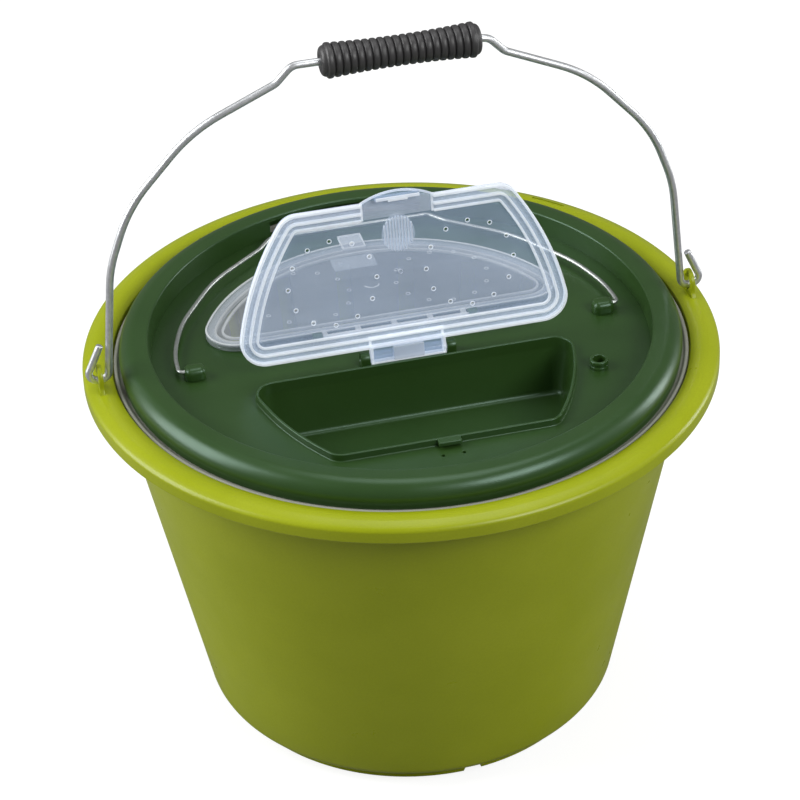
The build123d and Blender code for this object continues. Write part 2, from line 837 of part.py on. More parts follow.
with BuildPart() as front_flap:
    flap_arms = hinge_arms(flap_hinge_half, flap_arm_places, flap_middle_arm)
    add(ribbed_cover(flap_plane, flap_under, flap_edges, flap_hinge_half, flap_arms, barrel_radius))
    # stop on the back of the barrel, which meets the deck at the open angle
    with BuildSketch(flap_across.offset(-flap_hinge_half)):
        with Locations((-flap_stop, 0)):
            Rectangle(flap_stop, rod_radius, align=(Align.MIN, Align.MIN))
    extrude(amount=2 * flap_hinge_half)

    flap_edge = flap_axis_y - plan * well_front + cover_overlap
    catch_face = flap_axis_y - plan * well_front + catch_reach

    # the skirt and ridges stop short of the latch
    with BuildSketch(flap_plane.offset(flap_under)):
        with Locations((0, flap_edge)):
            Rectangle(2 * tab_half, field_ridge_inset + ridge_wall, align=(Align.CENTER, Align.MAX))
    extrude(amount=-cover_skirt, mode=Mode.SUBTRACT)

    # finger tab on the free edge
    with BuildSketch(flap_plane.offset(flap_under)):
        with BuildLine():
            ThreePointArc((-tab_half, flap_edge), (0, flap_edge + tab_reach), (tab_half, flap_edge))
            root = flap_edge - cover_skirt_wall
            Polyline((tab_half, flap_edge), (tab_half, root), (-tab_half, root), (-tab_half, flap_edge))
        make_face()
    extrude(amount=cover_plate)

    # latch wall outside the catch
    with BuildSketch(flap_plane.offset(flap_under)):
        with Locations((0, catch_face + latch_clearance)):
            Rectangle(latch_width, latch_wall, align=(Align.CENTER, Align.MIN))
    extrude(amount=-latch_drop)

    # egg-shaped grip pad
    with BuildSketch(flap_plane.offset(flap_under + cover_plate)):
        with Locations((0, plan * pad_reach)):
            Ellipse(pad_width / 2, pad_length / 2)
    extrude(amount=pad_rise)

    # two rings of vents
    with BuildSketch(flap_plane.offset(flap_under)):
        for side in (-1, 1):
            with Locations((side * plan * flap_vent_offset, plan * flap_vent_reach)):
                with PolarLocations(plan * flap_vent_circle, vent_count):
                    Circle(vent_radius)
    extrude(amount=cover_plate, mode=Mode.SUBTRACT)

front_flap.part.label = "front_flap"
export_step(front_flap.part, "parts/front_flap.step")

def cover_body():
    """Rear cover with its ridges, hinge rod and two rings of vents, before the tongue."""
    rear_arms = hinge_arms(rear_half, [plan * place for place in rear_arm_places], arm_width)
    with BuildPart() as body:
        add(ribbed_cover(cover_plane, cover_under, cover_edges, rear_half, rear_arms, rod_radius))
        with BuildSketch(cover_plane.offset(cover_under)):
            for side in (-1, 1):
                vent_x = plan * (cover_centre_x + side * cover_vent_offset)
                with Locations((vent_x, plan * cover_vent_reach - cover_axis_y)):
                    with PolarLocations(plan * cover_vent_circle, vent_count):
                        Circle(vent_radius)
        extrude(amount=cover_plate, mode=Mode.SUBTRACT)
    return body.part


cover_field = hatch_outline(field_ridge_inset + ridge_wall, True)

with BuildPart() as rear_cover:
    add(cover_body())
    with BuildSketch(cover_plane.offset(cover_under)):
        add(cover_field)
    extrude(amount=cover_plate, mode=Mode.INTERSECT)

rear_cover.part.label = "rear_cover"
export_step(rear_cover.part, "parts/rear_cover.step")

with BuildPart() as cover_border:
    add(cover_body())
    with BuildSketch(cover_plane.offset(cover_under)):
        add(cover_field)
    extrude(amount=cover_plate, mode=Mode.SUBTRACT)

cover_border.part.label = "cover_border"
export_step(cover_border.part, "parts/cover_border.step")

# finger tongue at the back of the rear cover
with BuildPart() as cover_tongue:
    with BuildSketch(cover_plane.offset(cover_under)):
        tongue_root = plan * (cover_radius + cover_centre_y) - cover_axis_y - cover_skirt_wall
        with Locations((plan * cover_centre_x, tongue_root)):
            Rectangle(tongue_width, tongue_reach + cover_skirt_wall, align=(Align.CENTER, Align.MIN))
        add(hatch_outline(0, True), mode=Mode.SUBTRACT)
    extrude(amount=cover_plate)

cover_tongue.part.label = "cover_tongue"
export_step(cover_tongue.part, "parts/cover_tongue.step")

# ---------------------------------------------------------------- lid handle

handle_arch = [
    (handle_straight, handle_back, handle_small_bend),
    (*handle_offset, handle_small_bend),
    (*handle_shoulder, handle_large_bend),
    (*handle_hip, handle_large_bend),
]
handle_right = [(plan * x, plan * y, plan * bend) for x, y, bend in handle_arch] + [
    (handle_reach, plan * handle_knee_y, plan * handle_large_bend),
    (handle_reach, handle_axis_y, handle_end_bend),
    (lug_outer - handle_grip_in_lug, handle_axis_y, 0),
]
handle_points = [(-x, y, bend) for x, y, bend in reversed(handle_right)] + handle_right

with BuildPart() as lid_handle:
    with BuildLine(Plane.XY.offset(handle_z)) as handle_path:
        handle_bends = [bend for x, y, bend in handle_points[1:-1]]
        FilletPolyline(*[(x, y) for x, y, bend in handle_points], radius=handle_bends)
    with BuildSketch(Plane(origin=handle_path.line @ 0, z_dir=handle_path.line % 0)):
        Circle(handle_wire_radius)
    sweep()

lid_handle.part.label = "lid_handle"
export_step(lid_handle.part, "parts/lid_handle.step")
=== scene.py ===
"""Finishes and fine shapes of an aerated bait bucket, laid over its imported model.

Lengths in the code are millimetres; meshes are written in metres. +X runs along the bail's pivot line, the
aerator well is towards -Y, +Z is up, and the origin is the middle of the foot ring on the ground.
"""

from __future__ import annotations

import json
import logging
from dataclasses import dataclass, field
from enum import Enum
from typing import Iterable, Sequence

import bmesh
import bpy
import numpy as np
from mathutils import Matrix, Vector

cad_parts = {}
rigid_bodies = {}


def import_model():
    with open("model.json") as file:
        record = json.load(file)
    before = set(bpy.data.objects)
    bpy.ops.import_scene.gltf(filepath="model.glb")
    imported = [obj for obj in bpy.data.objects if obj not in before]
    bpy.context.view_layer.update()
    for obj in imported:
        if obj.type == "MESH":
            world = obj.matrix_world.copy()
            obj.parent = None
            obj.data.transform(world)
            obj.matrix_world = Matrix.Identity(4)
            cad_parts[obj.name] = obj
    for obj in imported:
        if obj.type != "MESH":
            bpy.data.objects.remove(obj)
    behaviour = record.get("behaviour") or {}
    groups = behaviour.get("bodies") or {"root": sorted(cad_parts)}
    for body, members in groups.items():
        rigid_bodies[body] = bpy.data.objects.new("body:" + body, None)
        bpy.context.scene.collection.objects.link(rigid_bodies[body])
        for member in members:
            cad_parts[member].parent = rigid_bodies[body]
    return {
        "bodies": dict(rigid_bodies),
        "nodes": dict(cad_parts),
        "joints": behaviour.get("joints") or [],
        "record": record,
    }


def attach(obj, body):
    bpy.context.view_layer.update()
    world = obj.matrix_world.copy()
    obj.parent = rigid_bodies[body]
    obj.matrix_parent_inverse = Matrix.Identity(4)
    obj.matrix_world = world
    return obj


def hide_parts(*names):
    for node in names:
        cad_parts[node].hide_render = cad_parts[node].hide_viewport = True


LOG = logging.getLogger("bait_bucket")
MM = 0.001

# Distances in metres under which points and edges of a finished mesh are one.
MERGE_DISTANCE = 2e-6
SLIVER = 1e-7

# Sizes of the rings of a flat cap, as shares of its edge.
CAP_SHARES = (0.66, 0.33, 0.0)

# Places that two sub-assemblies share: the ears with the bail, the bucket with the basket, and the lid with its
# covers and its handle.
EAR_PLANE = 162.5
BASKET_SEAT = 211.0
FLAP_AXIS = -16.0
COVER_AXIS = 9.8
HINGE_HEIGHT = 218.9
HANDLE_AXIS = -2.5
HANDLE_HEIGHT = 219.7

Array = np.ndarray
Pair = tuple[float, float]
Triple = tuple[float, float, float]
Colour = tuple[float, float, float, float]
Socket = bpy.types.NodeSocket


# ---------------------------------------------------------------- lines and outlines


def rays(angles: Array) -> Array:
    """Directions at angles in radians: (cos a, sin a) of each."""
    return np.stack([np.cos(angles), np.sin(angles)], axis=1)


def arc(centre: Sequence[float], radius: float, start: float, end: float, step: float = 5.0) -> Array:
    """Points on a circular arc: centre + radius * (cos a, sin a), the angle a going evenly from start to end.

    Args:
        centre: middle of the circle.
        radius: radius of the circle.
        start: first angle in degrees.
        end: last angle in degrees.
        step: largest angle between two points, in degrees.

    Returns:
        Points of shape (n, 2).
    """
    count = max(2, int(np.ceil(abs(end - start) / step)) + 1)
    angles = np.radians(np.linspace(start, end, count))
    return np.asarray(centre, float) + radius * rays(angles)


def rounded_line(corners: Sequence[Triple], closed: bool = False, step: float = 8.0) -> Array:
    """Straight runs joined by arcs: each corner is cut back by bend * tan(half turn) and bridged by an arc.

    Args:
        corners: (across, up, bend radius) of each corner.
        closed: whether the last corner joins the first.
        step: largest angle between two points of a bend, in degrees.

    Returns:
        Points of shape (n, 2); a closed line doesn't repeat its first point.
    """
    places = np.array([c[:2] for c in corners], float)
    bends = [c[2] for c in corners]
    runs: list[Array] = []
    last = len(corners) - 1
    for index, (place, bend) in enumerate(zip(places, bends)):
        if bend <= 0 or (not closed and index in (0, last)):
            runs.append(place[None, :])
            continue
        before = places[index - 1] - place
        after = places[(index + 1) % len(places)] - place
        before = before / np.linalg.norm(before)
        after = after / np.linalg.norm(after)
        half_open = np.arccos(np.clip(before @ after, -1, 1)) / 2
        middle = place + (before + after) / np.linalg.norm(before + after) * bend / np.sin(half_open)
        first = place + before * bend / np.tan(half_open) - middle
        second = place + after * bend / np.tan(half_open) - middle
        start = np.degrees(np.arctan2(first[1], first[0]))
        turn = (np.degrees(np.arctan2(second[1], second[0])) - start + 180) % 360 - 180
        runs.append(arc(middle, bend, start, start + turn, step))
    return np.concatenate(runs)


def mirrored(corners: Sequence[Triple]) -> list[Triple]:
    """The same corners on the other side of the upright axis, in reverse order."""
    return [(-x, y, bend) for x, y, bend in reversed(corners)]


def along(line: Array, spacing: float, closed: bool = False) -> Array:
    """The same line with extra points put in evenly wherever two neighbours are farther apart than the spacing.

    Args:
        line: points of shape (n, d).
        spacing: largest distance left between neighbours.
        closed: whether the last point joins the first.

    Returns:
        Points of shape (m, d).
    """
    ends = np.concatenate([line[1:], line[:1]]) if closed else line[1:]
    starts = line if closed else line[:-1]
    counts = np.maximum(1, np.ceil(np.linalg.norm(ends - starts, axis=1) / spacing)).astype(int)
    index = np.repeat(np.arange(len(starts)), counts)
    share = (np.arange(len(index)) - np.repeat(np.cumsum(counts) - counts, counts)) / counts[index]
    points = starts[index] + (ends - starts)[index] * share[:, None]
    return points if closed else np.concatenate([points, line[-1:]])


@dataclass
class Outline:
    """Closed line in a plane, counter-clockwise, with the inward direction at each of its points."""

    points: Array
    inward: Array = field(init=False)

    def __post_init__(self) -> None:
        """Inward direction = the mean of both neighbouring runs' directions, turned a quarter left."""
        keep = np.linalg.norm(self.points - np.roll(self.points, 1, axis=0), axis=1) > 1e-6
        self.points = self.points[keep]
        run = np.roll(self.points, -1, axis=0) - self.points
        run /= np.linalg.norm(run, axis=1, keepdims=True)
        both = run + np.roll(run, 1, axis=0)
        unit = both / np.linalg.norm(both, axis=1, keepdims=True)
        lean = np.clip((run * unit).sum(axis=1), 0.5, 1.0)
        self.inward = np.stack([-unit[:, 1], unit[:, 0]], axis=1) / lean[:, None]

    def inset(self, distance: float) -> Array:
        """Points moved inwards by a distance."""
        return self.points + distance * self.inward

    def shifted(self, across: float, up: float, flip: bool = False) -> Outline:
        """Outline moved by an offset, after turning it upside down when flip is set.

        Args:
            across: first offset.
            up: second offset.
            flip: whether to turn the outline upside down first.

        Returns:
            The moved outline.
        """
        points = self.points * np.array([1.0, -1.0]) if flip else self.points
        points = points[::-1] if flip else points
        return Outline(points + np.array([across, up]))

    def toward(self, centre: Sequence[float], directions: Array) -> Array:
        """Where rays from a centre meet the outline: its radius is read off in polar form at each direction.

        Args:
            centre: a point from which the whole outline is in plain sight.
            directions: angles in radians.

        Returns:
            Points of shape (n, 2).
        """
        dense = along(self.points, 0.4, closed=True) - np.asarray(centre, float)
        angles = np.arctan2(dense[:, 1], dense[:, 0])
        order = np.argsort(angles)
        radii = np.linalg.norm(dense, axis=1)[order]
        reach = np.interp(directions, angles[order], radii, period=2 * np.pi)
        return np.asarray(centre, float) + reach[:, None] * rays(directions)


# ---------------------------------------------------------------- surfaces on grids


@dataclass
class Place:
    """Flat set of axes in space: a local (a, b, c) lies at origin + a * across + b * up + c * out."""

    origin: Triple = (0.0, 0.0, 0.0)
    across: Triple = (1.0, 0.0, 0.0)
    up: Triple = (0.0, 1.0, 0.0)

    def world(self, local: Array) -> Array:
        """Local points of shape (..., 3), in the object's own axes.

        Args:
            local: points of shape (..., 3).

        Returns:
            Points of the same shape.
        """
        across, up = np.array(self.across, float), np.array(self.up, float)
        axes = np.stack([across, up, np.cross(across, up)])
        return np.asarray(self.origin, float) + local @ axes


@dataclass
class Shell:
    """Closed surface: its points, its four-cornered faces, and the number of each face's finish.

    A triangle repeats its first corner as its fourth.
    """

    points: Array
    faces: Array
    finish: Array

    @classmethod
    def grid(cls, points: Array, ring_rows: bool, ring_columns: bool) -> Shell:
        """Faces between neighbouring rows and columns of a grid of points.

        Args:
            points: grid of shape (rows, columns, 3).
            ring_rows: whether the last row joins the first.
            ring_columns: whether the last column joins the first.

        Returns:
            The shell.
        """
        rows, columns = points.shape[:2]
        r = np.arange(rows if ring_rows else rows - 1)
        c = np.arange(columns if ring_columns else columns - 1)
        row, column = np.meshgrid(r, c, indexing="ij")
        next_row, next_column = (row + 1) % rows, (column + 1) % columns
        corners = [row * columns + column, row * columns + next_column]
        corners += [next_row * columns + next_column, next_row * columns + column]
        faces = np.stack(corners, axis=-1).reshape(-1, 4)
        return cls(points.reshape(-1, 3), faces, np.zeros(len(faces), int))

    def moved(self, place: Place) -> Shell:
        """The same shell set in a place."""
        return Shell(place.world(self.points), self.faces, self.finish)

    def painted(self, number: int) -> Shell:
        """The same shell with one finish all over."""
        return Shell(self.points, self.faces, np.full(len(self.faces), number))


def spun(profile: Array, columns: int | Array = 256, ring_rows: bool = True) -> Shell:
    """Surface of revolution about the upright axis: (r cos a, r sin a, z) for each profile point and angle.

    Args:
        profile: (radius, height) points.
        columns: number of even angles, or the angles in radians.
        ring_rows: whether the profile is closed; otherwise it starts and ends on the axis.

    Returns:
        The shell.
    """
    angles = np.linspace(0, 2 * np.pi, columns, endpoint=False) if isinstance(columns, int) else columns
    radius, height = profile[:, :1], np.broadcast_to(profile[:, 1:], (len(profile), len(angles)))
    points = np.stack([radius * np.cos(angles), radius * np.sin(angles), height], axis=-1)
    return Shell.grid(points, ring_rows, True)


def cap_rings(row: Array) -> list[Array]:
    """Rings that shrink from a row of points to its middle, for a flat cap."""
    middle = row.mean(axis=0)
    return [middle + (row - middle) * share for share in CAP_SHARES]


def carried(outline: Outline, profile: Array, ring_rows: bool = True) -> Shell:
    """Profile carried round an outline: outline point + inset * inward direction, at the profile's height.

    Args:
        outline: the closed line.
        profile: (inset, height) points; an open profile is closed by flat caps that shrink to the middle.
        ring_rows: whether the profile is closed.

    Returns:
        The shell.
    """
    rows = [np.column_stack([outline.inset(inset), np.full(len(outline.points), z)]) for inset, z in profile]
    if not ring_rows:
        rows = cap_rings(rows[0])[::-1] + rows + cap_rings(rows[-1])
    return Shell.grid(np.array(rows), ring_rows, True)


def tube(path: Array, radius: float, normal: Sequence[float], sides: int = 16, cap: float = 0.35) -> Shell:
    """Round bar along a flat path, with softly rounded ends.

    Each ring is path point + radius * (cos a * normal + sin a * side), and the rings next to an end shrink and
    close in along a quarter circle.

    Args:
        path: points of shape (n, 3) that lie in one plane.
        radius: radius of the bar.
        normal: direction square to the path's plane.
        sides: points round the bar.
        cap: how far the ends are rounded, as a share of the radius.

    Returns:
        The shell.
    """
    path = path[np.r_[True, np.linalg.norm(np.diff(path, axis=0), axis=1) > 1e-5]]
    ahead = np.gradient(path, axis=0)
    ahead /= np.linalg.norm(ahead, axis=1, keepdims=True)
    square = np.asarray(normal, float)
    side = np.cross(square, ahead)
    soft = cap * radius
    ease = np.radians([90.0, 60.0, 30.0])
    pull, narrow = (np.sin(ease) - 1)[:, None], (radius - soft) + soft * np.cos(ease)
    tip, tail = path[:1] - ahead[:1] * soft * pull, path[-1:] + ahead[-1:] * soft * pull
    inner = np.linalg.norm(path - path[0], axis=1) > soft
    inner &= np.linalg.norm(path - path[-1], axis=1) > soft
    middle = np.concatenate([path[:1], tip, path[inner], tail[::-1], path[-1:]])
    width = np.concatenate([[0.0], narrow, np.full(inner.sum(), radius), narrow[::-1], [0.0]])
    end_rings = len(ease) + 1
    side = np.concatenate([np.repeat(side[:1], end_rings, 0), side[inner], np.repeat(side[-1:], end_rings, 0)])
    angles = np.linspace(0, 2 * np.pi, sides, endpoint=False)[None, :, None]
    spread = np.cos(angles) * square + np.sin(angles) * side[:, None]
    return Shell.grid(middle[:, None] + width[:, None, None] * spread, False, True)


def holed_plate(
    outline: Outline, centre: Sequence[float], bore: float, low: float, high: float, edge: float
) -> Shell:
    """Plate between a round hole and an outline, as a ring whose section is a box with bevelled corners.

    Each point lies on the ray from the hole's middle in its column's direction: at the hole's radius, or at the
    outline's own reach less the bevel.

    Args:
        outline: outer line of the plate.
        centre: middle of the hole.
        bore: radius of the hole.
        low: height of one face.
        high: height of the other face.
        edge: size of the bevels.

    Returns:
        The shell.
    """
    directions = np.linspace(-np.pi, np.pi, 96, endpoint=False)
    out = rays(directions)
    inner = np.asarray(centre, float) + bore * out
    outer = outline.toward(centre, directions)
    corner = 0.3 * edge
    section = [(inner, low + edge), (inner + edge * out, low), (outer - edge * out, low)]
    section += [(outer - corner * out, low + corner), (outer, low + edge), (outer, high - edge)]
    section += [(outer - corner * out, high - corner), (outer - edge * out, high)]
    section += [(inner + edge * out, high), (inner, high - edge)]
    rows = [np.column_stack([line, np.full(len(line), height)]) for line, height in section]
    return Shell.grid(np.array(rows), True, True)


def swept(line: Array, section: Array) -> Shell:
    """Closed section carried along a flat line: line point + offset * left direction, at the section's height.

    Args:
        line: open line of (across, up) points.
        section: closed (offset to the left, height) points.

    Returns:
        The shell, whose two ends are closed to a point in the middle of the section.
    """
    run = np.gradient(line, axis=0)
    run /= np.linalg.norm(run, axis=1, keepdims=True)
    left = np.stack([-run[:, 1], run[:, 0]], axis=1)
    grid = np.array([np.column_stack([line + o * left, np.full(len(line), h)]) for o, h in section])
    ends = np.repeat(grid[:, [0, -1]].mean(axis=0, keepdims=True), len(section), axis=0)
    return Shell.grid(np.concatenate([ends[:, :1], grid, ends[:, 1:]], axis=1), True, False)


def bar_section(half: float, root: float, tip: float, bend: float) -> Array:
    """Closed section of an upright wall: straight at its root and rounded at its tip."""
    corners = [(-half, root, 0), (half, root, 0), (half, tip, bend), (-half, tip, bend)]
    return rounded_line(corners, closed=True, step=22.5)


def pierced_plate(rings: Sequence[Array], low: float, high: float, edge: float) -> Shell:
    """Flat plate bounded by an outer ring and pierced by the others, with rounded edges.

    The rings fill a flat curve, which is thickened and bevelled, and its mesh is read back.

    Args:
        rings: closed (across, up) lines, the outer one first.
        low: height of one face.
        high: height of the other face.
        edge: radius of the rounded edges.

    Returns:
        The shell.
    """
    data = bpy.data.curves.new("plate_rings", "CURVE")
    data.dimensions, data.fill_mode = "2D", "BOTH"
    data.extrude, data.bevel_depth, data.bevel_resolution = (high - low) / 2 - edge, edge, 1
    data.offset = -edge
    for ring in rings:
        spline = data.splines.new("POLY")
        spline.points.add(len(ring) - 1)
        places = np.column_stack([ring, np.zeros(len(ring)), np.ones(len(ring))])
        spline.points.foreach_set("co", places.ravel())
        spline.use_cyclic_u = True
    holder = bpy.data.objects.new("plate_rings", data)
    bpy.context.scene.collection.objects.link(holder)
    mesh = bpy.data.meshes.new_from_object(holder.evaluated_get(bpy.context.evaluated_depsgraph_get()))
    points = np.empty(len(mesh.vertices) * 3)
    mesh.vertices.foreach_get("co", points)
    points = points.reshape(-1, 3) + np.array([0, 0, (low + high) / 2])
    corners = [list(face.vertices) for face in mesh.polygons]
    faces = np.array([face if len(face) == 4 else face + face[:1] for face in corners])
    bpy.data.meshes.remove(mesh)
    bpy.data.objects.remove(holder)
    bpy.data.curves.remove(data)
    return Shell(points, faces, np.zeros(len(faces), int))


def circle(centre: Sequence[float], radius: float, sides: int = 12) -> Array:
    """Closed round line."""
    return arc(centre, radius, 0, 360 * (1 - 1 / sides), 360 / sides + 0.01)


def soft_block(outline: Outline, low: float, high: float, edge: float) -> Shell:
    """Block over an outline whose upper and lower edges are rounded by quarter circles.

    Args:
        outline: the block as seen from above.
        low: height of its foot.
        high: height of its top.
        edge: radius of the rounded edges.

    Returns:
        The shell.
    """
    turn = np.radians(np.linspace(0, 90, 5))
    lower = np.stack([edge - edge * np.sin(turn), low + edge - edge * np.cos(turn)], axis=1)
    upper = np.stack([edge - edge * np.cos(turn), high - edge + edge * np.sin(turn)], axis=1)
    return carried(outline, np.concatenate([lower, upper]), ring_rows=False)


def box_outline(x0: float, x1: float, y0: float, y1: float, bend: float) -> Outline:
    """Rectangle with rounded corners."""
    corners = [(x0, y0, bend), (x1, y0, bend), (x1, y1, bend), (x0, y1, bend)]
    return Outline(rounded_line(corners, closed=True, step=15.0))


# ---------------------------------------------------------------- pieces


class Slot(Enum):
    """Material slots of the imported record."""

    BUCKET = "bucket"
    WIRE = "wire"
    GRIP = "grip"
    BASKET = "basket"
    LID = "lid"
    CLEAR = "clear_cover"


@dataclass
class Piece:
    """Mesh object made of shells, with its finishes, body and the nodes that it stands for."""

    name: str
    body: str
    slot: Slot
    shells: list[Shell]
    finishes: list[bpy.types.Material]
    nodes: tuple[str, ...] = ()
    crease: float = 32.0

    def build(self) -> None:
        """Writes the mesh, closes its seams and poles, and hands it to the frame."""
        starts = np.cumsum([0] + [len(s.points) for s in self.shells])
        points = np.concatenate([s.points for s in self.shells]) * MM
        faces = np.concatenate([s.faces + start for s, start in zip(self.shells, starts)]).tolist()
        faces = [face[:3] if face[3] == face[0] else face for face in faces]
        finish = np.concatenate([s.finish for s in self.shells])
        mesh = bpy.data.meshes.new(self.name)
        mesh.from_pydata(points.tolist(), [], faces)
        for material in self.finishes:
            mesh.materials.append(material)
        mesh.polygons.foreach_set("material_index", finish.astype(np.int32))
        self._close(mesh)
        piece = bpy.data.objects.new(self.name, mesh)
        bpy.context.scene.collection.objects.link(piece)
        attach(piece, self.body)
        if self.nodes:
            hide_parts(*self.nodes)
        LOG.info("%s rides on %s: %d faces", self.name, self.body, len(mesh.polygons))

    def _close(self, mesh: bpy.types.Mesh) -> None:
        """Merges doubled points, points every face outwards and shades bends smooth up to the crease angle.

        Args:
            mesh: the mesh, which is changed in place.
        """
        work = bmesh.new()
        work.from_mesh(mesh)
        bmesh.ops.remove_doubles(work, verts=work.verts, dist=MERGE_DISTANCE)
        bmesh.ops.dissolve_degenerate(work, edges=work.edges, dist=SLIVER)
        bmesh.ops.recalc_face_normals(work, faces=work.faces)
        work.to_mesh(mesh)
        work.free()
        mesh.polygons.foreach_set("use_smooth", np.ones(len(mesh.polygons), bool))
        mesh.set_sharp_from_angle(angle=np.radians(self.crease))
        mesh.update()


def dress(frame: dict, node: str, material: bpy.types.Material) -> None:
    """Gives a carried-over node its finish.

    Args:
        node: name of the node.
        material: its finish.
    """
    slots = frame["nodes"][node].data.materials
    slots.clear()
    slots.append(material)
    LOG.info("%s keeps its shape and takes %s", node, material.name)


# ---------------------------------------------------------------- finishes


def join(tree: bpy.types.NodeTree, socket: Socket, value: object) -> None:
    """Sets a socket's value, or joins another socket to it.

    Args:
        tree: node tree of the socket.
        socket: socket that takes the value.
        value: number, vector or colour, or the socket of another node.
    """
    if isinstance(value, bpy.types.NodeSocket):
        tree.links.new(value, socket)
    else:
        socket.default_value = value


def worked_out(tree: bpy.types.NodeTree, operation: str, *values: object) -> Socket:
    """Result of one sum on numbers or sockets.

    Args:
        tree: node tree that the sum is added to.
        operation: Blender's name of the sum.
        values: numbers or sockets, in their order in the sum.

    Returns:
        The result's socket.
    """
    node = tree.nodes.new("ShaderNodeMath")
    node.operation = operation
    for socket, value in zip(node.inputs, values):
        join(tree, socket, value)
    return node.outputs["Value"]


class Graph:
    """Small helper that adds and joins the nodes of one material."""

    def __init__(self, name: str) -> None:
        """Starts a material with only its output and one Principled shader.

        Args:
            name: the material's name.
        """
        self.material = bpy.data.materials.new(name)
        self.material.use_nodes = True
        self.tree = self.material.node_tree
        self.shader = self.tree.nodes["Principled BSDF"]
        self.place = self.add("ShaderNodeTexCoord").outputs["Object"]

    def add(self, kind: str, **values: object) -> bpy.types.Node:
        """Adds a node and sets its sockets, or joins other sockets to them.

        Args:
            kind: Blender's name of the node.
            values: values or sockets by socket name, with spaces written as underscores.

        Returns:
            The node.
        """
        node = self.tree.nodes.new(kind)
        for name, value in values.items():
            join(self.tree, node.inputs[name.replace("_", " ")], value)
        return node

    def noise(self, scale: float, detail: float = 4.0, stretch: Triple = (1, 1, 1)) -> Socket:
        """Smooth noise on object coordinates, from 0 to 1, at a scale per metre.

        Args:
            scale: cells per metre.
            detail: number of finer layers.
            stretch: factors along the three axes.

        Returns:
            The noise's socket.
        """
        place = self.add("ShaderNodeMapping", Vector=self.place, Scale=stretch).outputs["Vector"]
        node = self.add("ShaderNodeTexNoise", Vector=place, Scale=scale, Detail=detail, Roughness=0.6)
        return node.outputs["Fac"]

    def spread(self, value: Socket, low: float, high: float, span: Pair = (0.3, 0.7)) -> Socket:
        """Maps a span of a value onto low to high."""
        ends = {"From_Min": span[0], "From_Max": span[1], "To_Min": low, "To_Max": high}
        return self.add("ShaderNodeMapRange", Value=value, **ends).outputs["Result"]

    def mix(self, share: object, first: object, second: object, blend: str = "MIX") -> Socket:
        """Blends two colours. The node has a set of sockets for each type, and those of colours are 6, 7 and 2.

        Args:
            share: how much of the second colour is taken.
            first: colour or socket.
            second: colour or socket.
            blend: Blender's name of the blend.

        Returns:
            The blend's socket.
        """
        node = self.tree.nodes.new("ShaderNodeMix")
        node.data_type, node.blend_type = "RGBA", blend
        for socket, value in ((0, share), (6, first), (7, second)):
            join(self.tree, node.inputs[socket], value)
        return node.outputs[2]

    def bump(self, heights: Iterable[tuple[Socket, float, float]]) -> Socket:
        """Stacks bumps, each of a height field, a strength and a depth in metres.

        Args:
            heights: height field, strength and depth of each bump.

        Returns:
            The normal's socket.
        """
        normal: dict[str, Socket] = {}
        for height, strength, depth in heights:
            node = self.add("ShaderNodeBump", Height=height, Strength=strength, Distance=depth, **normal)
            normal = {"Normal": node.outputs["Normal"]}
        return normal["Normal"]

    def finished(self, **values: object) -> bpy.types.Material:
        """Sets or joins the shader's sockets, named as in add, and returns the material.

        Args:
            values: values or sockets by socket name, with spaces written as underscores.

        Returns:
            The material.
        """
        for name, value in values.items():
            join(self.tree, self.shader.inputs[name.replace("_", " ")], value)
        return self.material


def colour(red: float, green: float, blue: float) -> Colour:
    """Linear colour with full cover."""
    return (red, green, blue, 1.0)


@dataclass(frozen=True)
class MouldedPlastic:
    """Injection-moulded plastic: slow colour drift, fine orange-peel grain, hairline scuffs and worn gloss."""

    name: str
    base: Colour
    drift: Colour
    gloss_low: float
    gloss_high: float
    grain: float
    scuffs: float
    specular: float = 0.25
    sheen: Colour = (1.0, 1.0, 1.0, 1.0)

    def build(self) -> bpy.types.Material:
        """Joins the nodes of the finish.

        Returns:
            The material.
        """
        g = Graph(self.name)
        cloud = g.spread(g.noise(scale=14.0, detail=3.0), 0.0, 1.0, span=(0.35, 0.65))
        speck = g.spread(g.noise(scale=900.0, detail=2.0), 0.96, 1.04)
        grey = g.add("ShaderNodeCombineColor", Red=speck, Green=speck, Blue=speck).outputs["Color"]
        hair = g.noise(scale=60.0, detail=6.0, stretch=(1.0, 9.0, 1.0))
        scuff = g.spread(hair, 0.0, 1.0, span=(0.55, 0.75))
        gloss = g.spread(g.noise(scale=35.0, detail=5.0), self.gloss_low, self.gloss_high)
        peel, fine = g.noise(scale=420.0, detail=2.0), g.noise(scale=2600.0, detail=1.0)
        return g.finished(
            Base_Color=g.mix(1.0, g.mix(cloud, self.base, self.drift), grey, "MULTIPLY"),
            Roughness=worked_out(g.tree, "MULTIPLY_ADD", scuff, 0.24 * self.scuffs, gloss),
            Normal=g.bump([(peel, self.grain, 0.0002), (fine, self.grain * 0.6, 0.00006)]),
            IOR=1.5,
            Specular_IOR_Level=self.specular,
            Specular_Tint=self.sheen,
        )


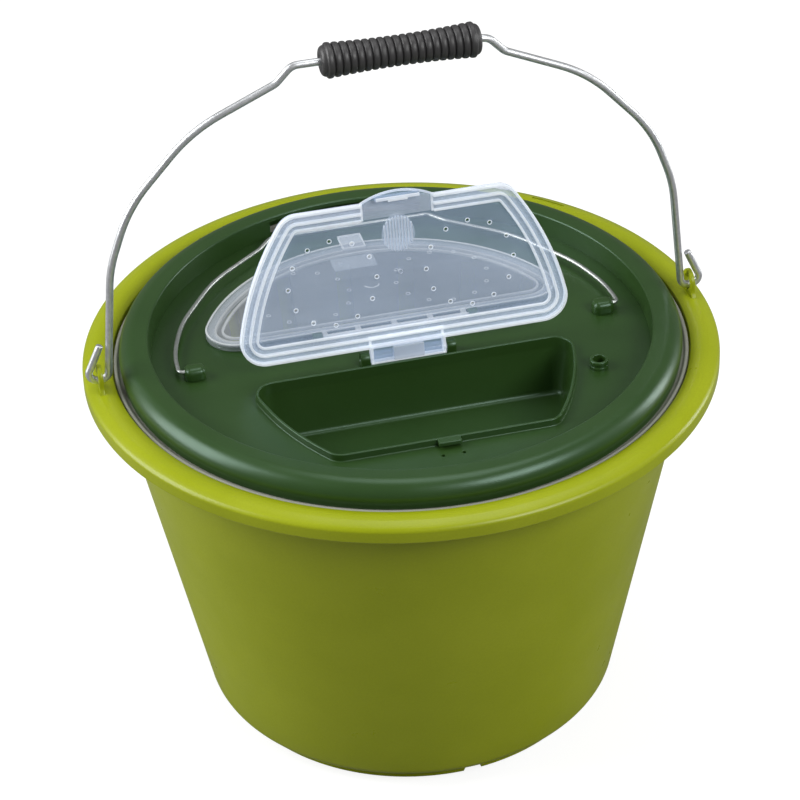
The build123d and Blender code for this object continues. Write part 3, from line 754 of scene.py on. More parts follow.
@dataclass(frozen=True)
class ClearPlastic:
    """Thin see-through plastic with a milky tone, faint flow marks and a soft gloss, which glows evenly by
    emission: painted light that brightens it.
    """

    name: str
    base: Colour
    cover: float
    gloss: float
    painted_glow: float
    painted_glow_tint: Colour = (0.9, 0.95, 1.0, 1.0)

    def build(self) -> bpy.types.Material:
        """Joins the nodes of the finish.

        Returns:
            The material.
        """
        g = Graph(self.name)
        flow = g.spread(g.noise(scale=22.0, stretch=(1.0, 2.4, 1.0)), 0.0, 1.0, span=(0.35, 0.7))
        darker = colour(*(0.86 * part for part in self.base[:3]))
        return g.finished(
            Base_Color=g.mix(flow, darker, self.base),
            Alpha=g.spread(g.noise(scale=30.0), self.cover * 0.9, min(1.0, self.cover * 1.1)),
            Roughness=g.spread(g.noise(scale=70.0, detail=5.0), self.gloss * 0.8, self.gloss * 1.5),
            Normal=g.bump([(g.noise(scale=160.0, detail=2.0), 0.1, 0.0002)]),
            IOR=1.49,
            Specular_IOR_Level=0.6,
            # Painted light: the emission makes the plastic glow in its tint, as if light came through it.
            Emission_Color=self.painted_glow_tint,
            Emission_Strength=self.painted_glow,
        )


@dataclass(frozen=True)
class GalvanisedWire:
    """Zinc-coated drawn wire: dull spangle, fine draw lines and a satin gloss."""

    name: str
    base: Colour = (0.88, 0.90, 0.92, 1.0)
    dull: Colour = (0.64, 0.66, 0.68, 1.0)
    drawn: float = 0.12

    def build(self) -> bpy.types.Material:
        """Joins the nodes of the finish.

        Returns:
            The material.
        """
        g = Graph(self.name)
        spangle = g.add("ShaderNodeTexVoronoi", Vector=g.place, Scale=420.0).outputs["Distance"]
        flakes = g.spread(spangle, 0.0, 1.0, span=(0.1, 0.7))
        cloud = g.noise(scale=120.0, detail=6.0)
        blotch = worked_out(g.tree, "MULTIPLY_ADD", flakes, 0.4, g.spread(cloud, 0.0, 0.6))
        return g.finished(
            Base_Color=g.mix(blotch, self.base, self.dull),
            Metallic=1.0,
            Roughness=g.spread(cloud, 0.33, 0.50),
            Normal=g.bump([(g.noise(scale=900.0, detail=3.0), self.drawn, 0.0001)]),
        )


@dataclass
class Palette:
    """Every finish of the object, built once."""

    lime: bpy.types.Material = field(init=False)
    deep_green: bpy.types.Material = field(init=False)
    grey: bpy.types.Material = field(init=False)
    clear: bpy.types.Material = field(init=False)
    glowing_edge: bpy.types.Material = field(init=False)
    clear_neutral: bpy.types.Material = field(init=False)
    edge_neutral: bpy.types.Material = field(init=False)
    frost: bpy.types.Material = field(init=False)
    band: bpy.types.Material = field(init=False)
    wire: bpy.types.Material = field(init=False)
    shaded_thin_wire: bpy.types.Material = field(init=False)
    grip: bpy.types.Material = field(init=False)

    def __post_init__(self) -> None:
        """Builds the materials."""
        self.lime = MouldedPlastic(
            name="lime_plastic",
            base=colour(0.315, 0.370, 0.004),
            drift=colour(0.345, 0.400, 0.008),
            gloss_low=0.27,
            gloss_high=0.36,
            grain=0.10,
            scuffs=0.15,
            specular=0.36,
        ).build()
        self.deep_green = MouldedPlastic(
            name="deep_green_plastic",
            base=colour(0.022, 0.057, 0.0095),
            drift=colour(0.026, 0.064, 0.012),
            gloss_low=0.30,
            gloss_high=0.37,
            grain=0.12,
            scuffs=0.12,
            specular=0.56,
            sheen=colour(0.72, 1.0, 0.90),
        ).build()
        self.grey = MouldedPlastic(
            name="grey_basket_plastic",
            base=colour(0.315, 0.320, 0.270),
            drift=colour(0.285, 0.290, 0.245),
            gloss_low=0.50,
            gloss_high=0.62,
            grain=0.2,
            scuffs=0.4,
        ).build()
        # Every clear finish except the lying cover's field glows by emission in the blue and pale tints below:
        # painted light that brightens the plastic. The upright flap's field and edge glow more than the lying
        # cover's, and the flap's edge finish glows most, a painted brightness along its ridges and beads.
        blue, pale = colour(0.37, 0.56, 1.0), colour(0.85, 0.93, 1.0)
        self.clear = ClearPlastic(
            "clear_cover_plastic", colour(0.62, 0.76, 0.98), cover=0.23, gloss=0.14, painted_glow=0.13, painted_glow_tint=blue
        ).build()
        self.glowing_edge = ClearPlastic(
            "moulded_edge_painted_glow", colour(0.95, 0.97, 1.0), cover=0.56, gloss=0.20, painted_glow=0.26, painted_glow_tint=pale
        ).build()
        self.clear_neutral = ClearPlastic(
            "clear_lying_plastic", colour(0.55, 0.61, 0.65), cover=0.24, gloss=0.16, painted_glow=0.0
        ).build()
        self.edge_neutral = ClearPlastic(
            "lying_moulded_edge_painted_glow", colour(0.92, 0.95, 0.96), cover=0.42, gloss=0.20, painted_glow=0.08
        ).build()
        self.frost = ClearPlastic(
            "frosted_plastic", colour(0.82, 0.87, 0.95), cover=0.42, gloss=0.35, painted_glow=0.06, painted_glow_tint=pale
        ).build()
        self.band = ClearPlastic(
            "hazy_band_plastic", colour(0.78, 0.86, 0.96), cover=0.27, gloss=0.30, painted_glow=0.10, painted_glow_tint=pale
        ).build()
        self.wire = GalvanisedWire("galvanised_wire").build()
        # The handle's wire is a darker, greener copy of the galvanised finish: painted shade, and a painted
        # reflection of the green lid.
        self.shaded_thin_wire = GalvanisedWire(
            "thin_handle_wire_painted_shade", base=colour(0.56, 0.59, 0.57), dull=colour(0.40, 0.43, 0.41), drawn=0.015
        ).build()
        self.grip = MouldedPlastic(
            name="black_grip_plastic",
            base=colour(0.034, 0.033, 0.034),
            drift=colour(0.044, 0.043, 0.044),
            gloss_low=0.38,
            gloss_high=0.52,
            grain=0.3,
            scuffs=0.8,
            specular=0.6,
        ).build()


# ---------------------------------------------------------------- outer bucket


@dataclass
class Bucket:
    """Tapered bucket with a rolled rim, a notched foot ring and two ears."""

    palette: Palette
    mouth: float = 154.6
    rim: float = 170.3
    top: float = 216.0
    plate_under: float = 213.2
    skirt_foot: float = 207.5
    skirt_inner: float = 167.4
    crest: float = 161.5
    crest_top: float = 217.8
    edge_fall: float = 4.2
    inner_fall: float = 2.0
    seat_radius: float = 150.0
    land_foot: float = 200.0
    wall_foot: float = 112.9
    wall_top: float = 155.7
    wall: float = 2.5
    foot_radius: float = 106.3
    foot_wall: float = 3.0
    foot_height: float = 6.5
    floor: float = 9.5
    notch_half: float = 5.0
    notch_height: float = 4.6
    notch_start: float = -86.0
    slot_angle: float = 44.5
    slot_half_angle: float = 3.6
    slot_radius: float = 163.6
    slot_half: float = 0.75
    slot_depth: float = 2.2
    ear_half_thickness: float = 1.3
    ear_centre: float = 224.0
    ear_radius: float = 7.0
    ear_hole: float = 4.0
    ear_flare: float = 2.0
    ear_bevel: float = 0.55

    def outside(self, z: float) -> float:
        """Outer radius of the wall at a height: a straight taper from the ground to the rim's top."""
        return self.wall_foot + (self.wall_top - self.wall_foot) * z / self.top

    def rim_height(self, radius: Array) -> Array:
        """Height of the rim's domed top: an ellipse from the crest out to the edge, and a parabola inwards.

        Args:
            radius: distances from the middle.

        Returns:
            A height for each.
        """
        out = np.clip((radius - self.crest) / (self.rim - self.crest), 0, 1)
        inward = np.maximum(self.crest - radius, 0) / (self.crest - self.mouth)
        return self.crest_top - self.edge_fall * (1 - np.sqrt(1 - out**2)) - self.inner_fall * inward**2

    def profile(self) -> Array:
        """Half section: out from the middle of the underside, up, over the rim and down the inside.

        Returns:
            (radius, height) points.
        """
        inner_foot = self.outside(self.floor) - self.wall
        foot_inner = self.foot_radius - self.foot_wall
        lower = rounded_line(
            [
                (0, self.foot_height, 0),
                (foot_inner, self.foot_height, 0.8),
                (foot_inner, 0, 0.8),
                (self.foot_radius, 0, 0.8),
                (self.foot_radius, self.foot_height, 0.5),
                (self.outside(self.foot_height), self.foot_height, 8.0),
                (self.outside(self.plate_under), self.plate_under, 2.0),
                (self.skirt_inner, self.plate_under, 1.2),
                (self.skirt_inner, self.skirt_foot, 0.9),
                (self.rim, self.skirt_foot, 0.9),
                (self.rim, self.crest_top - self.edge_fall, 0),
            ],
            step=12.0,
        )
        gap = 0.02
        low, high = self.slot_radius - self.slot_half, self.slot_radius + self.slot_half
        close_rows = self.rim - np.array([0.01, 0.06, 0.18, 0.4, 0.75, 1.2, 1.7])
        slot_rows = [high + gap, high - gap, self.slot_radius, low + gap, low - gap]
        across = np.concatenate([close_rows, slot_rows, np.linspace(low - 0.7, self.mouth + 0.9, 10)])
        dome = np.stack([across, self.rim_height(across)], axis=1)
        inner_edge = self.mouth + 0.7
        upper = rounded_line(
            [
                (inner_edge, self.rim_height(np.array(inner_edge)), 0),
                (self.mouth, self.rim_height(np.array(self.mouth)), 0.6),
                (self.mouth, BASKET_SEAT, 0.5),
                (self.seat_radius, BASKET_SEAT, 0.8),
                (self.seat_radius, self.land_foot, 6.0),
                (inner_foot, self.floor, 3.0),
                (0, self.floor, 0),
            ],
            step=12.0,
        )
        return along(np.concatenate([lower, dome, upper]), 12.0)

    def columns(self) -> Array:
        """Angles of the columns: even all round, and closer at the ends of the slot and at the notches.

        Returns:
            Rising angles in radians.
        """
        even = np.linspace(-180, 180, 384, endpoint=False)
        both_sides, near_end = np.array([-1, 1])[:, None], np.array([-0.012, 0.012])
        ends = self.slot_angle + both_sides * self.slot_half_angle + near_end
        near_notch = np.linspace(-3.0, 3.0, 25)
        notches = self.notch_start + 90 * np.arange(4)[:, None] + near_notch
        angles = (np.concatenate([even, ends.ravel(), notches.ravel()]) + 180) % 360 - 180
        return np.radians(np.unique(np.round(angles, 4)))

    def body_shell(self) -> Shell:
        """Spun wall and rim, then two changes of height.

        Points of the rim's domed top inside the slot's span sink by its depth. Points of the foot ring rise to
        the notch's arch, height * sqrt(1 - (distance / half width) squared), where the arch is above them.

        Returns:
            The shell.
        """
        angles = self.columns()
        profile = self.profile()
        shell = spun(profile, angles, ring_rows=False)
        grid = shell.points.reshape(len(profile), len(angles), 3)
        radius = np.broadcast_to(profile[:, :1], grid.shape[:2])
        degrees = np.broadcast_to(np.degrees(angles), grid.shape[:2])
        in_slot = abs(radius - self.slot_radius) < self.slot_half
        in_slot &= grid[..., 2] > self.crest_top - self.edge_fall
        in_slot &= abs(degrees - self.slot_angle) < self.slot_half_angle
        grid[..., 2] -= self.slot_depth * in_slot
        off = (degrees - self.notch_start + 45) % 90 - 45
        reach = np.radians(off) * self.foot_radius / self.notch_half
        arch = self.notch_height * np.sqrt(np.maximum(1 - reach**2, 0))
        on_foot = (radius > self.foot_radius - self.foot_wall - 0.01) & (radius < self.foot_radius + 0.01)
        on_foot &= (grid[..., 2] < self.notch_height) & (abs(reach) < 1)
        grid[..., 2] = np.where(on_foot, np.maximum(grid[..., 2], arch), grid[..., 2])
        return shell

    def ear_shell(self, side: int) -> Shell:
        """Ear on one end of the pivot line: an arch over the hole whose foot flares into the rim.

        Args:
            side: -1 for the left ear, 1 for the right one.

        Returns:
            The shell.
        """
        r, z = self.ear_radius, self.ear_centre
        foot = float(self.rim_height(np.array(EAR_PLANE)))
        flare = r + self.ear_flare
        right = [(flare + 0.4, foot - 1.5, 0), (flare, foot - 0.2, 0.4)]
        right += [(r, foot + 2.6, 4.0), (r, z + r, r - 0.01)]
        outline = Outline(rounded_line(right + mirrored(right), closed=True, step=6.0))
        half = self.ear_half_thickness
        plate = holed_plate(outline, (0, z), self.ear_hole, -half, half, self.ear_bevel)
        return plate.moved(Place((side * EAR_PLANE, 0, 0), (0, 1, 0), (0, 0, 1)))

    def build(self) -> None:
        """Makes the bucket's pieces."""
        lime = [self.palette.lime]
        nodes = ("outer_bucket", "bucket_rim", "bucket_floor")
        Piece("bucket_shell", "bucket", Slot.BUCKET, [self.body_shell()], lime, nodes).build()
        for side, word in ((-1, "left"), (1, "right")):
            ear = [self.ear_shell(side)]
            Piece(f"ear_{word}", "bucket", Slot.BUCKET, ear, lime, (f"bail_ear_{word}",)).build()


# ---------------------------------------------------------------- bail and grip


@dataclass
class Bail:
    """Wire bail, hooked at both ends, and the ribbed grip that turns on its raised middle."""

    palette: Palette
    wire: float = 2.0
    pivot: float = 222.1
    height: float = 167.1
    leg_setback: float = 4.7
    hook_reach: float = 7.8
    hook_bend: float = 4.5
    tail_rise: float = 21.0
    tail_lean: float = 9.6
    straight_half: float = 51.0
    shoulder: float = 59.5
    shoulder_drop: float = 8.9
    bow_bend: float = 0.48
    bow_heights: Triple = (0.828, 0.598, 0.394)
    bow_insets: Triple = (53.8, 18.8, 6.3)
    grip_length: float = 83.0
    grip_shift: float = 5.0
    grip_end: float = 8.25
    grip_waist: float = 6.65
    grip_bore: float = 2.3
    cap: float = 2.6
    ribs: int = 20
    rib_rise: float = 1.3
    rib_power: float = 3.6
    dish: float = 0.9

    def path(self) -> Array:
        """Middle line of the wire in the upright plane, from hook to hook.

        Returns:
            Points of shape (n, 3).
        """
        top, leg = self.pivot + self.height, EAR_PLANE - self.leg_setback
        hook = EAR_PLANE + self.hook_reach
        bend = self.bow_bend * self.height
        bow = [
            (leg - inset, self.pivot + self.height * share, bend)
            for inset, share in zip(self.bow_insets, self.bow_heights)
        ]
        right = [(self.straight_half, top, 8.0), (self.shoulder, top - self.shoulder_drop, 10.0)]
        right += bow + [(leg, self.pivot, self.hook_bend), (hook, self.pivot, self.hook_bend)]
        right += [(hook - self.tail_lean, self.pivot + self.tail_rise, 0)]
        line = along(rounded_line(mirrored(right) + right, step=3.0), 4.0)
        return np.column_stack([line[:, 0], np.zeros(len(line)), line[:, 1]])

    def grip_profile(self) -> Array:
        """Closed section of the grip: body radius = waist + (end - waist) * (2x / length) squared.

        Each rib adds rise * (1 - (distance from its crest / half a pitch) to the rib's power), and the ends
        close in quarter ovals down to a dished face round the bore.

        Returns:
            (radius, place along the grip) points.
        """
        half = self.grip_length / 2 - self.cap
        x = np.linspace(-half, half, self.ribs * 10 + 1)
        body = self.grip_waist + (self.grip_end - self.grip_waist) * (2 * x / self.grip_length) ** 2
        phase = (x + half) / (2 * half) * self.ribs
        ribs = self.rib_rise * (1 - np.abs(2 * (phase - np.floor(phase)) - 1) ** self.rib_power)
        ribbed = np.stack([body + ribs * (abs(x) < half - 1e-6), x], axis=1)
        turn = np.radians(np.linspace(15, 90, 6))
        end_radius, end_face = ribbed[-1, 0], half + self.cap
        right = np.stack([end_radius - self.cap * (1 - np.cos(turn)), half + self.cap * np.sin(turn)], axis=1)
        face = np.array([[4.3, end_face], [3.6, end_face - 0.5], [self.grip_bore, end_face - self.dish]])
        end = np.concatenate([right, face])
        left = (end * np.array([1.0, -1.0]))[::-1]
        return np.concatenate([left, ribbed, end])

    def build(self) -> None:
        """Makes the wire and its grip."""
        wire = tube(self.path(), self.wire, (0, 1, 0), 20, 0.45)
        Piece("bail_wire_drawn", "bail", Slot.WIRE, [wire], [self.palette.wire], ("bail_wire",)).build()
        place = Place((self.grip_shift, 0, self.pivot + self.height), (0, 1, 0), (0, 0, 1))
        grip = spun(self.grip_profile(), 64).moved(place)
        Piece("grip_ribbed", "grip", Slot.GRIP, [grip], [self.palette.grip], ("bail_grip",), 40.0).build()


# ---------------------------------------------------------------- inner basket


@dataclass
class Basket:
    """Perforated basket that hangs in the bucket's mouth by its flange."""

    palette: Palette
    flange: float = 153.8
    bead_inner: float = 151.4
    flange_top: float = 213.4
    bead_top: float = 215.0
    wall_outer: float = 148.8
    wall: float = 2.0

    def rim_profile(self) -> Array:
        """Closed section of the flange and of the bead round its edge.

        Returns:
            (radius, height) points.
        """
        corners = [
            (self.wall_outer - self.wall, BASKET_SEAT, 0),
            (self.flange, BASKET_SEAT, 0.4),
            (self.flange, self.bead_top, 1.1),
            (self.bead_inner, self.bead_top, 1.1),
            (self.bead_inner, self.flange_top, 0.6),
            (self.wall_outer - self.wall, self.flange_top, 0.5),
        ]
        return rounded_line(corners, closed=True, step=15.0)

    def build(self, frame: dict) -> None:
        """Makes the rim and dresses the wall and the bottom.
        """
        rim = spun(self.rim_profile(), 288)
        Piece("basket_rim_moulded", "basket", Slot.BASKET, [rim], [self.palette.grey], ("basket_rim",)).build()
        for node in ("basket_side", "basket_bottom"):
            dress(frame, node, self.palette.grey)


# ---------------------------------------------------------------- lid


def lip_outline(grow: float = 0.0) -> Outline:
    """Outline of the aerator well's lip: straight back and front, sides on one circle, corners rounded.

    The right side's circle goes through a, b and c. A corner's middle lies its own radius in from the straight
    edge and on the circle that is smaller by that radius, so that its arc touches both.

    Args:
        grow: how far the outline is moved outwards.

    Returns:
        The outline, counter-clockwise.
    """
    back, front, corner_back, corner_front = -24.0, -100.0, 11.0, 9.0
    a, b, c = np.array([88.0, back]), np.array([77.0, -67.0]), np.array([58.5, front])
    pull = np.array([b - a, c - b])
    middle = np.linalg.solve(pull, [(b @ b - a @ a) / 2, (c @ c - b @ b) / 2])
    radius = float(np.linalg.norm(a - middle))

    def corner(edge: float, bend: float) -> Array:
        """Middle of the rounded corner at a straight edge."""
        y = edge - bend if edge == back else edge + bend
        return np.array([middle[0] + np.sqrt((radius - bend) ** 2 - (y - middle[1]) ** 2), y])

    low, high = corner(front, corner_front), corner(back, corner_back)
    low_turn = np.degrees(np.arctan2(*(low - middle)[::-1]))
    high_turn = np.degrees(np.arctan2(*(high - middle)[::-1]))
    right = np.concatenate(
        [
            arc(low, corner_front, -90, low_turn),
            arc(middle, radius, low_turn, high_turn, 0.6)[1:-1],
            arc(high, corner_back, high_turn, 90),
        ]
    )
    left = right[::-1] * np.array([-1.0, 1.0])
    outline = Outline(along(np.concatenate([right, left]), 4.0, closed=True))
    return Outline(outline.inset(-grow)) if grow else outline


def cover_outline(shrink: float = 0.0) -> Outline:
    """Outline of the rear cover: a circle cut by a straight front edge, with rounded corners.

    Args:
        shrink: how far the outline is moved inwards.

    Returns:
        The outline, counter-clockwise.
    """
    radius, centre_x, centre_y, chord, bend = 105.2, -2.6, -5.0, 14.4, 17.0
    y = chord + bend
    x = float(np.sqrt((radius - bend) ** 2 - (y - centre_y) ** 2))
    turn = float(np.degrees(np.arctan2(y - centre_y, x)))
    right = arc((x, y), bend, -90, turn)
    back = arc((0, centre_y), radius, turn, 180 - turn, 1.5)[1:-1]
    left = right[::-1] * np.array([-1.0, 1.0])
    line = np.concatenate([right, back, left]) + np.array([centre_x, 0.0])
    outline = Outline(along(line, 4.0, closed=True))
    return Outline(outline.inset(shrink)) if shrink else outline


@dataclass
class Lid:
    """Lid with its bulged rim, deck, aerator well, hatch, posts, lugs, ledge and hose port."""

    palette: Palette
    deck: float = 215.5
    deck_under: float = 213.0
    deck_radius: float = 133.5
    crown_radius: float = 150.5
    crown_round: float = 9.0
    crown_top: float = 227.5
    foot_radius: float = 149.8
    foot: float = 213.4
    wall: float = 2.2
    skirt_foot: float = 203.0
    scoop_half: float = 44.0
    scoop_low: float = 216.9
    scoop_high: float = 224.8
    lip: float = 1.5
    lip_height: float = 4.0
    well_depth: float = 29.0
    well_taper: float = 4.4
    well_floor: float = 2.5
    well_fillet: float = 3.0
    well_fillet_outside: float = 2.4
    hatch_lip_height: float = 2.6
    hatch_inset: float = 2.8
    flap_post: Pair = (21.0, 26.0)
    cover_post: Pair = (40.5, 45.5)
    post_radius: float = 3.4
    pin_hole: float = 1.5
    lug_outer: float = 118.2
    lug_length: float = 11.5
    lug_half: float = 4.75
    lug_bend: float = 3.4
    lug_edge: float = 3.1
    lug_rise: float = 2.8
    lug_sunk: float = 1.9
    ledge_half: float = 6.0
    ledge_span: Pair = (-104.0, -99.4)
    ledge_heights: Pair = (216.9, 219.5)
    port: Pair = (94.2, -54.0)
    port_bore: float = 3.35
    port_groove: float = 4.3
    port_collar: float = 5.0

    def rim_profile(self) -> Array:
        """Closed section of the bulged rim: outer round, flat top, inner wall, skirt, hollow and foot.

        Returns:
            (radius, height) points.
        """
        centre, equator = self.crown_radius - self.crown_round, self.crown_top - self.crown_round
        shell = self.deck_radius + self.wall
        outer = arc((centre, equator), self.crown_round, 0, 90, 6.0)
        top = rounded_line(
            [
                (centre - 0.4, self.crown_top, 0),
                (self.deck_radius + 1, self.crown_top, 1.1),
                (self.deck_radius, self.deck, 0),
            ]
        )
        skirt = rounded_line(
            [
                (self.deck_radius, self.deck - 0.6, 0),
                (self.deck_radius, self.skirt_foot, 0.6),
                (shell, self.skirt_foot, 0.6),
                (shell, self.deck_under, 0),
            ]
        )
        hollow_top = np.array([[shell + 1, self.crown_top - self.wall], [centre, self.crown_top - self.wall]])
        inner = arc((centre, equator), self.crown_round - self.wall, 90, 0, 9.0)
        foot = rounded_line(
            [
                (self.crown_radius - self.wall, equator, 0),
                (self.foot_radius - self.wall, self.foot, 0.3),
                (self.foot_radius, self.foot, 0.5),
                (self.crown_radius, equator, 0),
            ]
        )[:-1]
        return np.concatenate([outer, top, skirt, hollow_top, inner, foot])

    def rim_shell(self) -> Shell:
        """Spun rim with the finger opening cut through its rear inner wall.

        The wall's faces between the opening's lower and upper rows and between its end columns are left out on
        both sides of the wall, and four bands of faces join the two holes' edges.

        Returns:
            The shell.
        """
        profile = self.rim_profile()
        slope = 1.0 / (self.crown_top - self.deck)
        low, high = self.scoop_low, self.scoop_high
        face = [(self.deck_radius + slope * (z - self.deck), z) for z in (high, low)]
        shell_r = self.deck_radius + self.wall
        rise = self.crown_top - self.wall - self.deck_under
        back = [(shell_r + (z - self.deck_under) / rise, z) for z in (low, high)]
        at_face = int(np.argmin(np.linalg.norm(profile - (self.deck_radius, self.deck), axis=1)))
        profile = np.insert(profile, at_face, face, axis=0)
        at_back = int(np.argmin(np.linalg.norm(profile - (shell_r, self.deck_under), axis=1))) + 1
        profile = np.insert(profile, at_back, back, axis=0)
        half = np.arcsin(self.scoop_half / (self.deck_radius + self.wall / 2))
        gaps, other_columns = 48, 310
        opening = np.pi / 2 + np.linspace(-half, half, gaps + 1)
        rest = np.linspace(opening[-1], opening[0] + 2 * np.pi, other_columns + 2)[1:-1]
        angles = np.concatenate([opening, rest])
        shell = spun(profile, angles)
        count = len(angles)
        rows, columns = np.divmod(np.arange(len(shell.faces)), count)
        cut = ((rows == at_face) | (rows == at_back)) & (columns < gaps)
        near = np.arange(gaps)
        face_high, face_low = at_face * count, (at_face + 1) * count
        back_low, back_high = at_back * count, (at_back + 1) * count

        def band(front: int, rear: int) -> Array:
            """Faces from a row at the front hole's edge to a row at the rear hole's."""
            return np.stack([front + near, front + near + 1, rear + near + 1, rear + near], axis=1)

        top, sill = band(face_high, back_high), band(face_low, back_low)
        ends = np.array([[face_high + c, face_low + c, back_low + c, back_high + c] for c in (0, gaps)])
        faces = np.concatenate([shell.faces[~cut], top, sill, ends])
        return Shell(shell.points, faces, np.zeros(len(faces), int))

    def well_shell(self) -> Shell:
        """Lip and box of the well as one skin: down the inside from the lip to the floor, and back up outside.

        The wall leans in by the taper from the deck to the floor, with a rounded foot inside and outside.

        Returns:
            The shell.
        """
        top, under = self.deck + self.lip_height, self.deck_under
        floor = self.deck - self.well_depth
        inner_foot = self.lip + self.well_taper
        section = rounded_line(
            [
                (inner_foot + self.well_fillet, floor, 0),
                (inner_foot, floor, self.well_fillet),
                (self.lip, under, 3.0),
                (self.lip, top, 0.55),
                (0.0, top, 0.55),
                (0.0, under - 0.2, 0),
                (self.well_taper, floor - self.well_floor, self.well_fillet_outside),
                (inner_foot + self.well_fillet, floor - self.well_floor, 0),
            ],
            step=15.0,
        )
        return carried(lip_outline(), along(section, 5.0), ring_rows=False)

    def lip_foot(self, outline: Outline, reach: float) -> Shell:
        """Small fillet where a lip rises from the deck: a closed strip with a hollow quarter-circle face.

        Args:
            outline: outer line of the lip.
            reach: radius of the fillet.

        Returns:
            The shell.
        """
        turn = np.radians(np.linspace(0, 90, 5))
        hollow = np.stack([-reach + reach * np.sin(turn), self.deck + reach - reach * np.cos(turn)], axis=1)
        inset, sunk = 0.5, self.deck - 0.3
        hidden = [[inset, self.deck + reach], [inset, sunk], [-reach, sunk]]
        return carried(outline, np.concatenate([hollow, hidden]))

    def hatch_lip_shell(self) -> Shell:
        """Low lip round the bait hatch.

        Returns:
            The shell.
        """
        top = self.deck + self.hatch_lip_height
        corners = [(0.0, self.deck_under + 0.1, 0.2), (0.0, top, 0.5)]
        corners += [(self.lip, top, 0.5), (self.lip, self.deck_under - 0.1, 0.3)]
        return carried(cover_outline(self.hatch_inset), rounded_line(corners, closed=True, step=15.0))

    def post_shell(self, x0: float, x1: float, y: float) -> Shell:
        """Post with a round head and a pin hole, from x0 to x1 about a pivot line at y.

        Args:
            x0: first side face.
            x1: second side face.
            y: place of the pivot line.

        Returns:
            The shell.
        """
        r, z, foot = self.post_radius, HINGE_HEIGHT, self.deck - 0.5
        corners = [(y + r, foot, 0), (y + r, z + r, r - 0.01), (y - r, z + r, r - 0.01), (y - r, foot, 0)]
        outline = Outline(rounded_line(corners, closed=True, step=10.0))
        plate = holed_plate(outline, (y, z), self.pin_hole, x0, x1, edge=0.4)
        return plate.moved(Place((0, 0, 0), (0, 1, 0), (0, 0, 1)))

    def posts(self, span: Pair, y: float) -> list[Shell]:
        """Left and right post of the hinge at y, each over the same span to its side."""
        return [self.post_shell(*sorted((side * span[0], side * span[1])), y) for side in (-1, 1)]

    def lug_shell(self, side: int) -> Shell:
        """Lug that holds one end of the handle: a block with rounded corners and shoulders.

        Args:
            side: -1 for the left lug, 1 for the right one.

        Returns:
            The shell.
        """
        y, half = HANDLE_AXIS, self.lug_half
        x0, x1 = sorted((side * self.lug_outer, side * (self.lug_outer - self.lug_length)))
        shape = box_outline(x0, x1, y - half, y + half, self.lug_bend)
        return soft_block(shape, self.deck - self.lug_sunk, HANDLE_HEIGHT + self.lug_rise, self.lug_edge)

    def port_shell(self) -> Shell:
        """Hose port: a collar with a groove round it and a bore through the deck.

        Returns:
            The shell.
        """
        z, under = self.deck, self.deck_under - 0.1
        bore, groove, collar = self.port_bore, self.port_groove, self.port_collar
        corners = [(bore, under, 0.2), (collar, under, 0.2)]
        corners += [(collar, z + 1.6, 0.35), (groove, z + 1.6, 0.1)]
        corners += [(groove, z + 2.8, 0.1), (collar, z + 2.8, 0.35)]
        corners += [(collar, z + 5.0, 0.8), (bore, z + 5.0, 0.5)]
        profile = rounded_line(corners, closed=True, step=18.0)
        return spun(profile, 48).moved(Place((self.port[0], self.port[1], 0)))

    def build(self, frame: dict) -> None:
        """Makes the lid's pieces and dresses its deck.
        """
        feet = [self.lip_foot(lip_outline(), reach=0.7)]
        feet.append(self.lip_foot(cover_outline(self.hatch_inset), reach=0.6))
        lugs = [self.lug_shell(side) for side in (-1, 1)]
        shelf = box_outline(-self.ledge_half, self.ledge_half, *self.ledge_span, bend=0.8)
        ledge = soft_block(shelf, *self.ledge_heights, edge=0.6)
        moulded = [
            ("lid_rim_bulged", [self.rim_shell()], "lid_rim"),
            ("well_moulded", [self.well_shell()], "lid_well"),
            ("hatch_lip_moulded", [self.hatch_lip_shell()], "hatch_lip"),
            ("lip_foot_fillets", feet),
            ("flap_posts_moulded", self.posts(self.flap_post, FLAP_AXIS), "flap_posts"),
            ("cover_posts_moulded", self.posts(self.cover_post, COVER_AXIS), "cover_posts"),
            ("handle_lugs_moulded", lugs, "handle_lugs"),
            ("latch_ledge_moulded", [ledge], "latch_ledge"),
            ("hose_port_moulded", [self.port_shell()], "hose_port"),
        ]
        for name, shells, *nodes in moulded:
            Piece(name, "lid", Slot.LID, shells, [self.palette.deep_green], tuple(nodes)).build()
        dress(frame, "lid_deck", self.palette.deep_green)


# ---------------------------------------------------------------- clear covers


class Zone(Enum):
    """Finishes of a clear cover, in the order in which its pieces list them."""

    FIELD = 0
    EDGE = 1
    FROST = 2
    BAND = 3


Zoned = tuple[Shell, Zone]


def bar(ends: Sequence[Sequence[float]], half: float, root: float, tip: float, bend: float = 0.3) -> Shell:
    """Wall along a straight run, from its root's height to its tip's."""
    return swept(along(np.asarray(ends, float), 6.0), bar_section(half, root, tip, bend))


def crossbar(reach: float, place: float, half: float, root: float, tip: float, bend: float = 0.3) -> Shell:
    """Wall straight across a cover at a place along it, reaching as far to both sides."""
    return bar([(-reach, place), (reach, place)], half, root, tip, bend)


def rod(half: float, radius: float) -> Shell:
    """Round rod across a cover, on its pivot line."""
    path = np.array([[x, 0.0, 0.0] for x in np.linspace(-half, half, 9)])
    return tube(path, radius, (0, 0, 1), sides=20, cap=0.3)


def vent_centres(spots: Sequence[Pair], radius: float) -> list[Pair]:
    """Middles of twelve vents on a circle round each spot."""
    turns = np.radians(30 * np.arange(12))
    return [(x + radius * np.cos(t), y + radius * np.sin(t)) for x, y in spots for t in turns]


